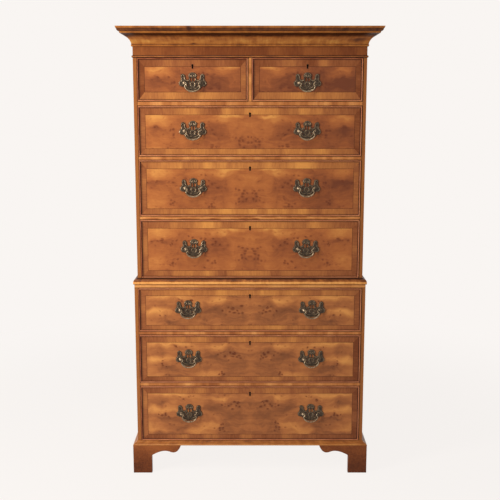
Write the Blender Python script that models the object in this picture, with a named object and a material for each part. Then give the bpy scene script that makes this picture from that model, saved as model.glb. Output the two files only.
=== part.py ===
"""A chest-on-chest: two short and six long drawers in an upper and a lower case.

Metres, +Z up. The front faces -Y. The origin is on the floor, under the middle of the whole piece.
"""

import math

import bmesh
import bpy
from mathutils.geometry import interpolate_bezier

# Clearances
SEAT_GAP = 0.0003
DRAWER_GAP = 0.0012
OVERRUN = 0.002

# The two cases: the upper one stands back by the same step at the front and at both sides
LOWER_WIDTH = 0.930
CASE_DEPTH = 0.465
CASE_STEP = 0.012
SIDE_THICK = 0.015
LOWER_TOP_THICK = 0.0205
UPPER_TOP_THICK = 0.0152
FRIEZE_RISE = 0.0272
FRIEZE_THICK = 0.020
BACK_THICK = 0.006
BACK_REBATE = 0.009

# The heights of the drawer openings, counted from the top row down
ROW_1_OPENING = 0.166
ROW_2_OPENING = 0.195
ROW_3_OPENING = 0.222
ROW_4_OPENING = 0.235
ROW_5_OPENING = 0.1793
ROW_6_OPENING = 0.2013
ROW_7_OPENING = 0.2336

# The dividers: a front rail, a dust board and two runners, housed in the case sides
RAIL_THICK = 0.015
TOP_RAIL_THICK = 0.018
RAIL_DEPTH = 0.050
DUST_BOARD_THICK = 0.007
RUNNER_WIDTH = 0.035
CENTRE_RUNNER_WIDTH = 0.060
HOUSING_DEPTH = 0.004
HOUSING_SETBACK = 0.008
MUNTIN_WIDTH = 0.015
MUNTIN_DEPTH = 0.022
GUIDE_HEIGHT = 0.012

# The drawers
FRONT_THICK = 0.020
COCKBEAD_WIDTH = 0.0035
COCKBEAD_PROUD = 0.003
LAP_THICK = 0.007
DRAWER_SIDE_THICK = 0.010
DRAWER_BACK_THICK = 0.010
DRAWER_BOTTOM_THICK = 0.006
BOTTOM_RISE = 0.010
GROOVE_DEPTH = 0.006
SIDE_TOP_DROP = 0.003
BACK_TOP_DROP = 0.012
DRAWER_REAR_GAP = 0.020
KEYHOLE_DROP = 0.0275
KEYHOLE_RADIUS = 0.003
KEYHOLE_SLOT = 0.0028
KEYHOLE_LENGTH = 0.013

# The astragal bead at the foot of the frieze
BEAD_HEIGHT = 0.0085
BEAD_PROUD = 0.004

# The cornice, from its foot up: a fillet, a cove, a fillet, an ovolo and a crown fillet
CORNICE_FOOT_PROUD = 0.005
CORNICE_FOOT_HEIGHT = 0.0068
COVE_FOOT_PROUD = 0.0038
COVE_HEIGHT = 0.0402
COVE_REACH = 0.042
COVE_FILLET_STEP = 0.0015
COVE_FILLET_HEIGHT = 0.0053
OVOLO_REACH = 0.0105
OVOLO_HEIGHT = 0.0105
CROWN_HEIGHT = 0.0087
CROWN_STEP = 0.002
DUST_TOP_THICK = 0.010
DUST_TOP_DROP = 0.003

# The waist moulding, on the lower case and round the foot of the upper one
WAIST_RISE = 0.0195
WAIST_SKIRT = 0.0048
WAIST_PROUD = 0.0045
WAIST_NOSE_RISE = 0.0032
WAIST_NOSE_CHAMFER = 0.0013
WAIST_FILLET = 0.0035
WAIST_FILLET_HEIGHT = 0.0035
WAIST_FILLET_STEP = 0.001

# The base moulding and the bracket feet under it
BASE_HEIGHT = 0.016
BASE_PROUD = 0.018
BASE_TOP_PROUD = 0.0026
BASE_TOP_FILLET = 0.002
BASE_FOOT_FILLET = 0.0022
FOOT_HEIGHT = 0.119
FOOT_WIDTH = 0.077
FOOT_THICK = 0.020
FOOT_BLOCK = 0.042
FRONT_BRACKET_LENGTH = 0.197
SIDE_BRACKET_LENGTH = 0.170
REAR_BRACKET_LENGTH = 0.110

# The handles
HANDLE_OFFSET_UPPER = 0.224
HANDLE_OFFSET_LOWER = 0.250
SHORT_HANDLE_DROP = 0.0132
PLATE_HALF_WIDTH = 0.0535
PLATE_RISE = 0.0405
PLATE_DROP = 0.030
PLATE_THICK = 0.0025
POST_SPACING = 0.065
POST_HEAD_RADIUS = 0.0048
POST_HEAD_LENGTH = 0.006
POST_FLANGE_RADIUS = 0.0065
POST_FLANGE_HEIGHT = 0.0022
POST_NECK_RADIUS = 0.003
POST_CROWN_RADIUS = 0.0025
POST_CROWN_RISE = 0.0015
PIVOT_STANDOFF = 0.010
SHANK_RADIUS = 0.002
SHANK_BEHIND = 0.004
PIN_RADIUS = 0.0014
PIN_PLAY = 0.0005
PIN_INSET = 0.0012
NECK_STANDOFF = 0.001
NECK_RADIUS = 0.0022
NECK_BEND = 0.0032
BAIL_DROP = 0.033
GRIP_RADIUS = 0.003

# Outline of the backplate's right half, from its crest to its foot: shares of the half width, and of the
# rise above the pivot line or, where negative, of the drop below it
PLATE_OUTLINE_SHARES = (
    (0.0, 1.0),
    (0.15, 0.95),
    (0.28, 0.80),
    (0.30, 0.62),
    (0.245, 0.46),
    (0.40, 0.29),
    (0.51, 0.38),
    (0.55, 0.70),
    (0.65, 0.85),
    (0.76, 0.86),
    (0.86, 0.70),
    (0.86, 0.40),
    (1.0, 0.0),
    (0.95, -0.26),
    (0.80, -0.44),
    (0.65, -0.46),
    (0.52, -0.78),
    (0.27, -0.95),
    (0.0, -1.0),
)
# The piercings of the right half, in the same shares
PLATE_PIERCING_SHARES = (
    ((0.05, 0.20), (0.15, 0.18), (0.15, 0.48), (0.05, 0.48)),
    ((0.67, 0.54), (0.74, 0.50), (0.76, 0.66), (0.69, 0.71)),
    ((0.22, 0.06), (0.34, 0.04), (0.33, 0.20), (0.24, 0.20)),
    ((0.26, -0.20), (0.38, -0.20), (0.35, -0.44), (0.27, -0.42)),
)
PLATE_EYE_SHARE = 0.08
PLATE_EYE_DROP_SHARE = 0.14

# The bow of the bail, from its neck to its middle: shares of half the post spacing and of the drop
BAIL_SHOULDER_SHARES = (1.15, 0.50)
BAIL_BELLY_SHARE = 0.62

# The bows of the cove and of the base moulding's cyma: shares of their reach and of their height
COVE_BOW_SHARES = ((0.03, 0.39), (0.42, 0.78))
CYMA_BOW_SHARES = ((0.58, 0.62), (0.03, 0.55))

# The shaped lower edge of a bracket: shares of its length past the foot, and of the foot's height
BRACKET_SPRING_SHARE = 0.64
BRACKET_ARCH_SHARES = ((0.167, 0.74), (0.39, 0.85), (0.60, 0.777))
BRACKET_TAIL_SHARES = ((0.742, 0.714), (0.892, 0.706))

# Smoothness of the round work
COVE_STEPS = 6
ROUND_STEPS = 4
ARCH_STEPS = 5
BOW_STEPS = 4
KEYHOLE_STEPS = 6
BAR_SIDES = 6
POST_SIDES = 8
SMOOTH_ANGLE = 40.0
FLAT_ANGLE = 0.05

# Each case's floor lies just above the moulding in front of it, so that the lowest drawer slides over it
LOWER_BOTTOM_THICK = BASE_HEIGHT + SEAT_GAP
UPPER_BOTTOM_THICK = WAIST_RISE

# Heights worked out from the floor up
LOWER_BASE = FOOT_HEIGHT
LOWER_OPENINGS = (ROW_7_OPENING, ROW_6_OPENING, ROW_5_OPENING)
LOWER_RAILS = (RAIL_THICK, RAIL_THICK)
LOWER_INNER_HEIGHT = sum(LOWER_OPENINGS) + sum(LOWER_RAILS)
LOWER_HEIGHT = LOWER_BOTTOM_THICK + LOWER_INNER_HEIGHT + LOWER_TOP_THICK
UPPER_BASE = LOWER_BASE + LOWER_HEIGHT + SEAT_GAP
UPPER_OPENINGS = (ROW_4_OPENING, ROW_3_OPENING, ROW_2_OPENING, ROW_1_OPENING)
UPPER_RAILS = (RAIL_THICK, RAIL_THICK, TOP_RAIL_THICK)
UPPER_INNER_HEIGHT = sum(UPPER_OPENINGS) + sum(UPPER_RAILS)
UPPER_HEIGHT = UPPER_BOTTOM_THICK + UPPER_INNER_HEIGHT + UPPER_TOP_THICK + FRIEZE_RISE
CORNICE_BASE = UPPER_BASE + UPPER_HEIGHT + SEAT_GAP
COVE_TOP = CORNICE_FOOT_HEIGHT + COVE_HEIGHT
OVOLO_FOOT = COVE_TOP + COVE_FILLET_HEIGHT
CROWN_FOOT = OVOLO_FOOT + OVOLO_HEIGHT
CORNICE_HEIGHT = CROWN_FOOT + CROWN_HEIGHT

# Places in plan
UPPER_WIDTH = LOWER_WIDTH - 2 * CASE_STEP
UPPER_DEPTH = CASE_DEPTH - CASE_STEP
COVE_FILLET_PROUD = COVE_REACH + COVE_FILLET_STEP
OVOLO_START = COVE_FILLET_PROUD + COVE_FILLET_STEP
CORNICE_PROJECTION = OVOLO_START + OVOLO_REACH + CROWN_STEP
LOWER_FRONT = (CORNICE_PROJECTION - CASE_STEP - CASE_DEPTH) / 2
UPPER_FRONT = LOWER_FRONT + CASE_STEP
PIVOT_OUT = SEAT_GAP + PLATE_THICK + PIVOT_STANDOFF


def linear(hex_colour):
    """The linear RGBA value of an sRGB hex colour."""
    channels = [int(hex_colour[i : i + 2], 16) / 255 for i in (0, 2, 4)]
    curve = [c / 12.92 if c <= 0.04045 else ((c + 0.055) / 1.055) ** 2.4 for c in channels]
    return (*curve, 1.0)


def make_material(name, hex_colour, roughness, metallic=0.0):
    material = bpy.data.materials.new(name)
    material.use_nodes = True
    shader = material.node_tree.nodes["Principled BSDF"]
    shader.inputs["Base Color"].default_value = linear(hex_colour)
    shader.inputs["Roughness"].default_value = roughness
    shader.inputs["Metallic"].default_value = metallic
    return material


def closed_mesh(points, faces):
    """A mesh of these faces, turned so that all of them point outwards."""
    mesh = bpy.data.meshes.new("shape")
    mesh.from_pydata(points, [], faces)
    shape = bmesh.new()
    shape.from_mesh(mesh)
    bmesh.ops.recalc_face_normals(shape, faces=shape.faces)
    shape.to_mesh(mesh)
    shape.free()
    return mesh


def box(x0, x1, y0, y1, z0, z1):
    points = [(x, y, z) for z in (z0, z1) for y in (y0, y1) for x in (x0, x1)]
    faces = [(0, 2, 3, 1), (4, 5, 7, 6), (0, 1, 5, 4), (2, 6, 7, 3), (0, 4, 6, 2), (1, 3, 7, 5)]
    return closed_mesh(points, faces)


def loft(rings, closed_ends=True):
    """Rings of equal count joined one to the next, with a face on the first and the last."""
    count = len(rings[0])
    points = [point for ring in rings for point in ring]
    faces = []
    for ring in range(len(rings) - 1):
        for i in range(count):
            j = (i + 1) % count
            faces.append((ring * count + i, ring * count + j, (ring + 1) * count + j, (ring + 1) * count + i))
    if closed_ends:
        last = (len(rings) - 1) * count
        faces.append(tuple(range(count)))
        faces.append(tuple(range(last, last + count)))
    return closed_mesh(points, faces)


def front_prism(outline, y0, y1):
    """An outline of (x, z) points, pushed from y0 to y1."""
    return loft([[(x, y, z) for x, z in outline] for y in (y0, y1)])


def side_prism(outline, x0, x1):
    """An outline of (y, z) points, pushed from x0 to x1."""
    return loft([[(x, y, z) for y, z in outline] for x in (x0, x1)])


def combine(operation, body, *tools):
    """The body joined with, or cut by, each tool in turn."""
    scene = bpy.context.scene.collection
    work = bpy.data.objects.new("work", body)
    scene.objects.link(work)
    helpers = []
    for tool in tools:
        helper = bpy.data.objects.new("helper", tool)
        scene.objects.link(helper)
        helpers.append(helper)
        modifier = work.modifiers.new("combine", "BOOLEAN")
        modifier.operation = operation
        modifier.solver = "EXACT"
        modifier.object = helper
    graph = bpy.context.evaluated_depsgraph_get()
    result = bpy.data.meshes.new_from_object(work.evaluated_get(graph))
    for spent in [work, *helpers]:
        bpy.data.objects.remove(spent)
    return result


def join(body, *others):
    return combine("UNION", body, *others)


def cut(body, *cutters):
    return combine("DIFFERENCE", body, *cutters)


def tidy(mesh):
    """Flat faces merged again, so that each piece keeps only the edges of its form."""
    shape = bmesh.new()
    shape.from_mesh(mesh)
    bmesh.ops.remove_doubles(shape, verts=shape.verts, dist=SEAT_GAP / 100)
    flat = math.radians(FLAT_ANGLE)
    bmesh.ops.dissolve_limit(shape, angle_limit=flat, verts=shape.verts, edges=shape.edges)
    shape.to_mesh(mesh)
    shape.free()
    return mesh


def place(name, mesh, material, location=(0, 0, 0), parent=None):
    mesh.name = name
    mesh.materials.clear()
    mesh.materials.append(material)
    piece = bpy.data.objects.new(name, mesh)
    piece.location = location
    piece.parent = parent
    bpy.context.scene.collection.objects.link(piece)
    return piece


def shade_round(mesh):
    mesh.shade_smooth()
    mesh.set_sharp_from_angle(angle=math.radians(SMOOTH_ANGLE))
    return mesh


def ellipse_arc(centre, radii, start, end, steps):
    """Points of an ellipse from one angle to another, in degrees, with both ends."""
    angles = [math.radians(start + (end - start) * i / steps) for i in range(steps + 1)]
    return [(centre[0] + radii[0] * math.cos(a), centre[1] + radii[1] * math.sin(a)) for a in angles]


def bezier(knot_a, handle_a, handle_b, knot_b, steps):
    """Points of a cubic curve in a plane, with both ends."""
    corners = [(u, v, 0) for u, v in (knot_a, handle_a, handle_b, knot_b)]
    return [(point[0], point[1]) for point in interpolate_bezier(*corners, steps + 1)]


def moulding(profile, half_width, front, back):
    """A moulding mitred round the front and both sides; the profile's points are (out, height)."""
    stations = []
    for side, at_back in ((-1, True), (-1, False), (1, False), (1, True)):
        ring = []
        for out, height in profile:
            ring.append((side * (half_width + out), back if at_back else front - out, height))
        stations.append(ring)
    return loft(stations)


# The scene starts empty
for existing in list(bpy.data.objects):
    bpy.data.objects.remove(existing)

YEW = make_material("yew_veneer", "ba7548", 0.32)
YEW_DARK = make_material("yew_moulding", "96603a", 0.32)
YEW_FOOT = make_material("yew_bracket", "7d4a2c", 0.36)
YEW_BURR = make_material("yew_burr_front", "c98450", 0.30)
CASE_WOOD = make_material("case_wood", "a9764a", 0.50)
BACK_WOOD = make_material("back_panel_wood", "b58d5f", 0.60)
DRAWER_WOOD = make_material("drawer_lining_wood", "c9a677", 0.55)
BRASS = make_material("antique_brass", "8d7a55", 0.35, 1.0)


def openings_from(base, openings, rails):
    """The height of each opening's floor, and of each rail, from the bottom up."""
    floors = []
    rail_heights = []
    level = base
    for i, opening in enumerate(openings):
        floors.append(level)
        level += opening
        if i < len(rails):
            rail_heights.append(level)
            level += rails[i]
    return floors, rail_heights


def build_carcase(width, depth, height, bottom_thick, inner_height, rail_heights, rails):
    """Sides, bottom and top in one shell, housed for the dividers and rebated for the back."""
    half = width / 2
    inner = half - SIDE_THICK
    ceiling = bottom_thick + inner_height
    shell = box(-half, half, 0, depth, 0, height)
    cutters = [
        box(-inner, inner, -OVERRUN, depth + OVERRUN, bottom_thick, ceiling),
        box(
            -inner - BACK_REBATE,
            inner + BACK_REBATE,
            depth - BACK_THICK - SEAT_GAP,
            depth + OVERRUN,
            bottom_thick - BACK_REBATE,
            ceiling + BACK_REBATE,
        ),
    ]
    for level, rail in zip(rail_heights, rails):
        cutters.append(
            box(
                -inner - HOUSING_DEPTH,
                inner + HOUSING_DEPTH,
                HOUSING_SETBACK,
                depth - BACK_THICK,
                level - SEAT_GAP,
                level + rail + SEAT_GAP,
            )
        )
    return cut(shell, *cutters)


def build_back(width, bottom_thick, inner_height):
    half = width / 2 - SIDE_THICK + BACK_REBATE - SEAT_GAP
    low = bottom_thick - BACK_REBATE + SEAT_GAP
    high = bottom_thick + inner_height + BACK_REBATE - SEAT_GAP
    return box(-half, half, -BACK_THICK, 0, low, high)


def build_divider(width, depth, rail):
    """A front rail with its dust board and two runners, tongued into the case sides."""
    inner = width / 2 - SIDE_THICK - SEAT_GAP
    end = depth - BACK_THICK - 2 * SEAT_GAP
    board = (rail - DUST_BOARD_THICK) / 2
    tongue = inner + HOUSING_DEPTH
    body = box(-inner, inner, 0, RAIL_DEPTH, 0, rail)
    parts = [box(-inner, inner, RAIL_DEPTH - OVERRUN, end, board, board + DUST_BOARD_THICK)]
    for side in (-1, 1):
        edges = sorted((side * tongue, side * (inner - RUNNER_WIDTH)))
        parts.append(box(*edges, HOUSING_SETBACK + SEAT_GAP, end, 0, rail))
    return join(body, *parts)


def add_muntin(divider, depth, rail):
    """The upright between the short drawers, with the runner and the guide behind it."""
    end = depth - BACK_THICK - 2 * SEAT_GAP
    half = MUNTIN_WIDTH / 2
    muntin = box(-half, half, 0, MUNTIN_DEPTH, rail - OVERRUN, rail + ROW_1_OPENING - SEAT_GAP)
    guide = box(-half, half, MUNTIN_DEPTH - OVERRUN, end, rail - OVERRUN, rail + GUIDE_HEIGHT)
    runner_half = CENTRE_RUNNER_WIDTH / 2
    runner = box(-runner_half, runner_half, RAIL_DEPTH - OVERRUN, end, 0, rail)
    return join(divider, runner, muntin, guide)


def build_upper_case():
    floors, rail_heights = openings_from(UPPER_BOTTOM_THICK, UPPER_OPENINGS, UPPER_RAILS)
    half = UPPER_WIDTH / 2
    inner = half - SIDE_THICK
    ceiling = UPPER_BOTTOM_THICK + UPPER_INNER_HEIGHT
    shell = build_carcase(
        UPPER_WIDTH,
        UPPER_DEPTH,
        UPPER_HEIGHT,
        UPPER_BOTTOM_THICK,
        UPPER_INNER_HEIGHT,
        rail_heights,
        UPPER_RAILS,
    )
    # The top board lies below the frieze's upper edge, under the cornice
    well = box(
        -inner,
        inner,
        FRIEZE_THICK,
        UPPER_DEPTH - SIDE_THICK,
        ceiling + UPPER_TOP_THICK,
        UPPER_HEIGHT + OVERRUN,
    )
    nose = ellipse_arc((0, ceiling + BEAD_HEIGHT / 2), (BEAD_PROUD, BEAD_HEIGHT / 2), -90, 90, ROUND_STEPS)
    bead = moulding([(-OVERRUN, ceiling), *nose, (-OVERRUN, ceiling + BEAD_HEIGHT)], half, 0, UPPER_DEPTH)
    carcase = tidy(join(cut(shell, well), bead))
    place("upper_carcase", carcase, YEW, (0, UPPER_FRONT, UPPER_BASE))
    back = build_back(UPPER_WIDTH, UPPER_BOTTOM_THICK, UPPER_INNER_HEIGHT)
    place("upper_back", back, BACK_WOOD, (0, UPPER_FRONT + UPPER_DEPTH, UPPER_BASE))
    for number, level, rail in zip((3, 2, 1), rail_heights, UPPER_RAILS):
        divider = build_divider(UPPER_WIDTH, UPPER_DEPTH, rail)
        if number == 1:
            divider = add_muntin(divider, UPPER_DEPTH, rail)
        place(f"upper_divider_{number}", tidy(divider), CASE_WOOD, (0, UPPER_FRONT, UPPER_BASE + level))
    return [UPPER_BASE + floor for floor in floors]


def build_lower_case():
    floors, rail_heights = openings_from(LOWER_BOTTOM_THICK, LOWER_OPENINGS, LOWER_RAILS)
    carcase = build_carcase(
        LOWER_WIDTH,
        CASE_DEPTH,
        LOWER_HEIGHT,
        LOWER_BOTTOM_THICK,
        LOWER_INNER_HEIGHT,
        rail_heights,
        LOWER_RAILS,
    )
    place("lower_carcase", tidy(carcase), YEW, (0, LOWER_FRONT, LOWER_BASE))
    back = build_back(LOWER_WIDTH, LOWER_BOTTOM_THICK, LOWER_INNER_HEIGHT)
    place("lower_back", back, BACK_WOOD, (0, LOWER_FRONT + CASE_DEPTH, LOWER_BASE))
    for number, level, rail in zip((2, 1), rail_heights, LOWER_RAILS):
        divider = tidy(build_divider(LOWER_WIDTH, CASE_DEPTH, rail))
        place(f"lower_divider_{number}", divider, CASE_WOOD, (0, LOWER_FRONT, LOWER_BASE + level))
    return [LOWER_BASE + floor for floor in floors]


def build_cornice():
    """A cove under an ovolo and a crown fillet, closed by a back rail and a dust top."""
    cove_foot = CORNICE_FOOT_HEIGHT
    reach = COVE_REACH - COVE_FOOT_PROUD
    bows = [(COVE_FOOT_PROUD + u * reach, cove_foot + v * COVE_HEIGHT) for u, v in COVE_BOW_SHARES]
    cove = bezier((COVE_FOOT_PROUD, cove_foot), *bows, (COVE_REACH, COVE_TOP), COVE_STEPS)
    ovolo = ellipse_arc((OVOLO_START, CROWN_FOOT), (OVOLO_REACH, OVOLO_HEIGHT), -90, 0, ROUND_STEPS)
    profile = [
        (-SIDE_THICK, 0),
        (CORNICE_FOOT_PROUD, 0),
        (CORNICE_FOOT_PROUD, cove_foot),
        *cove,
        (COVE_FILLET_PROUD, COVE_TOP),
        (COVE_FILLET_PROUD, OVOLO_FOOT),
        *ovolo,
        (CORNICE_PROJECTION, CROWN_FOOT),
        (CORNICE_PROJECTION, CORNICE_HEIGHT),
        (-SIDE_THICK, CORNICE_HEIGHT),
    ]
    half = UPPER_WIDTH / 2
    frame = moulding(profile, half, 0, UPPER_DEPTH)
    top = CORNICE_HEIGHT - DUST_TOP_DROP
    board_half = half - SIDE_THICK + OVERRUN
    board = box(
        -board_half, board_half, SIDE_THICK - OVERRUN, UPPER_DEPTH - OVERRUN, top - DUST_TOP_THICK, top
    )
    rail = box(-board_half, board_half, UPPER_DEPTH - SIDE_THICK, UPPER_DEPTH, 0, top)
    cornice = tidy(join(frame, rail, board))
    place("cornice", shade_round(cornice), YEW_DARK, (0, UPPER_FRONT, CORNICE_BASE))


def build_waist():
    """A fillet over an ovolo, whose nose hangs a little over the lower case."""
    fillet_out = WAIST_FILLET - CASE_STEP
    ovolo_top = WAIST_RISE - WAIST_FILLET_HEIGHT
    ovolo_in = fillet_out + WAIST_FILLET_STEP
    ovolo = ellipse_arc(
        (ovolo_in, WAIST_NOSE_RISE),
        (WAIST_PROUD - ovolo_in, ovolo_top - WAIST_NOSE_RISE),
        0,
        90,
        ROUND_STEPS,
    )
    profile = [
        (SEAT_GAP, SEAT_GAP),
        (SEAT_GAP, -WAIST_SKIRT),
        (WAIST_PROUD - WAIST_NOSE_CHAMFER, -WAIST_SKIRT),
        (WAIST_PROUD, -WAIST_SKIRT + WAIST_NOSE_CHAMFER),
        *ovolo,
        (fillet_out, ovolo_top),
        (fillet_out, WAIST_RISE),
        (SEAT_GAP - CASE_STEP, WAIST_RISE),
        (SEAT_GAP - CASE_STEP, SEAT_GAP),
    ]
    waist = moulding(profile, LOWER_WIDTH / 2, 0, CASE_DEPTH)
    place("waist_moulding", shade_round(waist), YEW_DARK, (0, LOWER_FRONT, LOWER_BASE + LOWER_HEIGHT))


def build_base():
    """A cyma between two fillets, from the case's face out to the face of the feet."""
    sweep_top = BASE_HEIGHT - BASE_TOP_FILLET
    sweep_in = BASE_TOP_PROUD + BASE_TOP_FILLET / 2
    reach = BASE_PROUD - sweep_in
    fall = sweep_top - BASE_FOOT_FILLET
    bows = [(sweep_in + u * reach, BASE_FOOT_FILLET + v * fall) for u, v in CYMA_BOW_SHARES]
    cyma = bezier((BASE_PROUD, BASE_FOOT_FILLET), *bows, (sweep_in, sweep_top), COVE_STEPS)
    profile = [
        (SEAT_GAP, 0),
        (BASE_PROUD, 0),
        *cyma,
        (BASE_TOP_PROUD, sweep_top),
        (BASE_TOP_PROUD, BASE_HEIGHT),
        (SEAT_GAP, BASE_HEIGHT),
    ]
    base = moulding(profile, LOWER_WIDTH / 2, 0, CASE_DEPTH)
    place("base_moulding", shade_round(base), YEW_DARK, (0, LOWER_FRONT, LOWER_BASE))


def bracket_outline(length, top):
    """A bracket board seen from its face: (distance from the corner, height)."""
    reach = length - FOOT_WIDTH

    def at(shares):
        return (FOOT_WIDTH + shares[0] * reach, shares[1] * FOOT_HEIGHT)

    spring = (FOOT_WIDTH, BRACKET_SPRING_SHARE * FOOT_HEIGHT)
    arch_a, arch_b, dip = (at(shares) for shares in BRACKET_ARCH_SHARES)
    tail_a, tail_b = (at(shares) for shares in BRACKET_TAIL_SHARES)
    arch = bezier(spring, arch_a, arch_b, dip, ARCH_STEPS)
    tail = bezier(dip, tail_a, tail_b, (length, top), ARCH_STEPS)
    return [(0, 0), (FOOT_WIDTH, 0), *arch, *tail[1:], (0, top)]


def build_feet():
    """Each foot is two boards mitred at the corner, backed by a block; the origin is its outer corner."""
    top = FOOT_HEIGHT - SEAT_GAP
    face = bracket_outline(FRONT_BRACKET_LENGTH, top)
    flank = bracket_outline(SIDE_BRACKET_LENGTH, top)
    rear_length = REAR_BRACKET_LENGTH
    rear = [(0, 0), (FOOT_WIDTH, 0), (rear_length, top), (0, top)]
    half = LOWER_WIDTH / 2 + BASE_PROUD
    front = LOWER_FRONT - BASE_PROUD
    back = LOWER_FRONT + CASE_DEPTH
    inside = FOOT_THICK - OVERRUN
    for side, end in ((-1, "left"), (1, "right")):
        block_edges = sorted((-side * inside, -side * (FOOT_THICK + FOOT_BLOCK)))
        board_edges = sorted((0, -side * FOOT_THICK))
        facing = front_prism([(-side * u, z) for u, z in face], 0, FOOT_THICK)
        flanking = side_prism(flank, *board_edges)
        block = box(*block_edges, inside, FOOT_THICK + FOOT_BLOCK, 0, top)
        foot = tidy(join(facing, flanking, block))
        place(f"foot_front_{end}", foot, YEW_FOOT, (side * half, front, 0))
        behind = front_prism([(-side * u, z) for u, z in rear], -FOOT_THICK, 0)
        flanking = side_prism([(-u, z) for u, z in flank], *board_edges)
        block = box(*block_edges, -FOOT_THICK - FOOT_BLOCK, -inside, 0, top)
        foot = tidy(join(flanking, behind, block))
        place(f"foot_rear_{end}", foot, YEW_FOOT, (side * half, back, 0))


def keyhole_outline():
    """A round head over a straight slot; the origin is the centre of the head."""
    half = KEYHOLE_SLOT / 2
    lean = math.degrees(math.asin(half / KEYHOLE_RADIUS))
    head = ellipse_arc((0, 0), (KEYHOLE_RADIUS, KEYHOLE_RADIUS), -90 + lean, 270 - lean, KEYHOLE_STEPS)
    return [(half, -KEYHOLE_LENGTH), *head, (-half, -KEYHOLE_LENGTH)]


def build_drawer_front(width, height, handle_places, pivot_height):
    """A lapped front with a cockbead round its face; its face is at y = 0."""
    half = width / 2
    chamfer = COCKBEAD_WIDTH / 3
    low = -COCKBEAD_PROUD / 2
    steps = (
        (0, FRONT_THICK),
        (0, low),
        (chamfer, -COCKBEAD_PROUD),
        (COCKBEAD_WIDTH - chamfer, -COCKBEAD_PROUD),
        (COCKBEAD_WIDTH, low),
        (COCKBEAD_WIDTH, 0),
    )
    rings = []
    for inset, y in steps:
        x = half - inset
        rings.append([(-x, y, inset), (x, y, inset), (x, y, height - inset), (-x, y, height - inset)])
    board = loft(rings)
    lap = LAP_THICK
    joint = DRAWER_SIDE_THICK + SEAT_GAP
    floor = SEAT_GAP - DRAWER_GAP + BOTTOM_RISE
    behind = FRONT_THICK + OVERRUN
    cutters = [
        box(
            -half,
            half,
            FRONT_THICK - GROOVE_DEPTH,
            behind,
            floor - SEAT_GAP,
            floor + DRAWER_BOTTOM_THICK + SEAT_GAP,
        )
    ]
    for side in (-1, 1):
        edges = sorted((side * (half + OVERRUN), side * (half - joint)))
        cutters.append(box(*edges, lap, behind, -OVERRUN, height - SIDE_TOP_DROP + SEAT_GAP))
    key_height = height - KEYHOLE_DROP
    hole = [(x, z + key_height) for x, z in keyhole_outline()]
    cutters.append(front_prism(hole, -OVERRUN, behind))
    bore = SHANK_RADIUS + SEAT_GAP
    for place_x in handle_places:
        for side in (-1, 1):
            centre = (place_x + side * POST_SPACING / 2, pivot_height)
            ring = ellipse_arc(centre, (bore, bore), 0, 360, BAR_SIDES)[:-1]
            cutters.append(front_prism(ring, -OVERRUN, behind))
    return tidy(cut(board, *cutters))


def build_drawer_box(width, height, length):
    """Two sides, a back and a bottom; the sides' ends lap into the front."""
    half = width / 2
    inner = half - DRAWER_SIDE_THICK
    low = SEAT_GAP - DRAWER_GAP
    floor = low + BOTTOM_RISE
    over = floor + DRAWER_BOTTOM_THICK
    start = LAP_THICK + SEAT_GAP
    side_top = height - SIDE_TOP_DROP
    bottom = box(
        -inner - OVERRUN,
        inner + OVERRUN,
        FRONT_THICK - GROOVE_DEPTH + SEAT_GAP,
        length - OVERRUN,
        floor,
        over,
    )
    back = box(
        -inner - OVERRUN, inner + OVERRUN, length - DRAWER_BACK_THICK, length, floor, height - BACK_TOP_DROP
    )
    sides = [box(*sorted((s * half, s * inner)), start, length, low, side_top) for s in (-1, 1)]
    return tidy(join(sides[0], bottom, sides[1], back))


def turned_post(x):
    """A post turned about Y: a sloped flange, a neck that widens to the head, and the pin's bore."""
    front = -PLATE_THICK
    head = front - PIVOT_STANDOFF
    half = POST_HEAD_LENGTH / 2
    steps = (
        (front + OVERRUN / 2, POST_FLANGE_RADIUS),
        (front - POST_FLANGE_HEIGHT, POST_NECK_RADIUS),
        (head + half, POST_HEAD_RADIUS),
        (head - half, POST_HEAD_RADIUS),
        (head - half - POST_CROWN_RISE, POST_CROWN_RADIUS),
    )
    turn = 180 / POST_SIDES
    rings = []
    for y, radius in steps:
        circle = ellipse_arc((x, 0), (radius, radius), turn, 360 + turn, POST_SIDES)[:-1]
        rings.append([(px, y, pz) for px, pz in circle])
    bore = PIN_RADIUS + PIN_PLAY
    hole = ellipse_arc((head, 0), (bore, bore), 0, 360, BAR_SIDES)[:-1]
    reach = POST_HEAD_RADIUS + OVERRUN
    return cut(loft(rings), side_prism(hole, x - reach, x + reach))


def mirrored(points):
    """The points, then their mirror images in x, left out where they lie on the axis."""
    return points + [(-x, z) for x, z in reversed(points) if x > 0]


def plate_point(shares):
    x_share, z_share = shares
    return (x_share * PLATE_HALF_WIDTH, z_share * (PLATE_RISE if z_share > 0 else PLATE_DROP))


def build_backplate():
    """The pierced plate with its two posts; the origin is on the pivot line, at the plate's back."""
    outline = mirrored([plate_point(shares) for shares in PLATE_OUTLINE_SHARES])
    plate = front_prism(outline, -PLATE_THICK, 0)
    cutters = []
    for piercing in PLATE_PIERCING_SHARES:
        for side in (-1, 1):
            hole = [(side * x, z) for x, z in map(plate_point, piercing)]
            cutters.append(front_prism(hole, -PLATE_THICK - OVERRUN, OVERRUN))
    eye = PLATE_EYE_SHARE * PLATE_HALF_WIDTH
    centre = (0, -PLATE_EYE_DROP_SHARE * PLATE_DROP)
    ring = ellipse_arc(centre, (eye, eye), 0, 360, BAR_SIDES)[:-1]
    cutters.append(front_prism(ring, -PLATE_THICK - OVERRUN, OVERRUN))
    plate = cut(plate, *cutters)
    shank_end = SEAT_GAP + FRONT_THICK + SHANK_BEHIND
    posts = []
    for side in (-1, 1):
        x = side * POST_SPACING / 2
        shank = ellipse_arc((x, 0), (SHANK_RADIUS, SHANK_RADIUS), 0, 360, BAR_SIDES)[:-1]
        posts.append(turned_post(x))
        posts.append(front_prism(shank, -PLATE_THICK / 2, shank_end))
    return shade_round(tidy(join(plate, *posts)))


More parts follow.
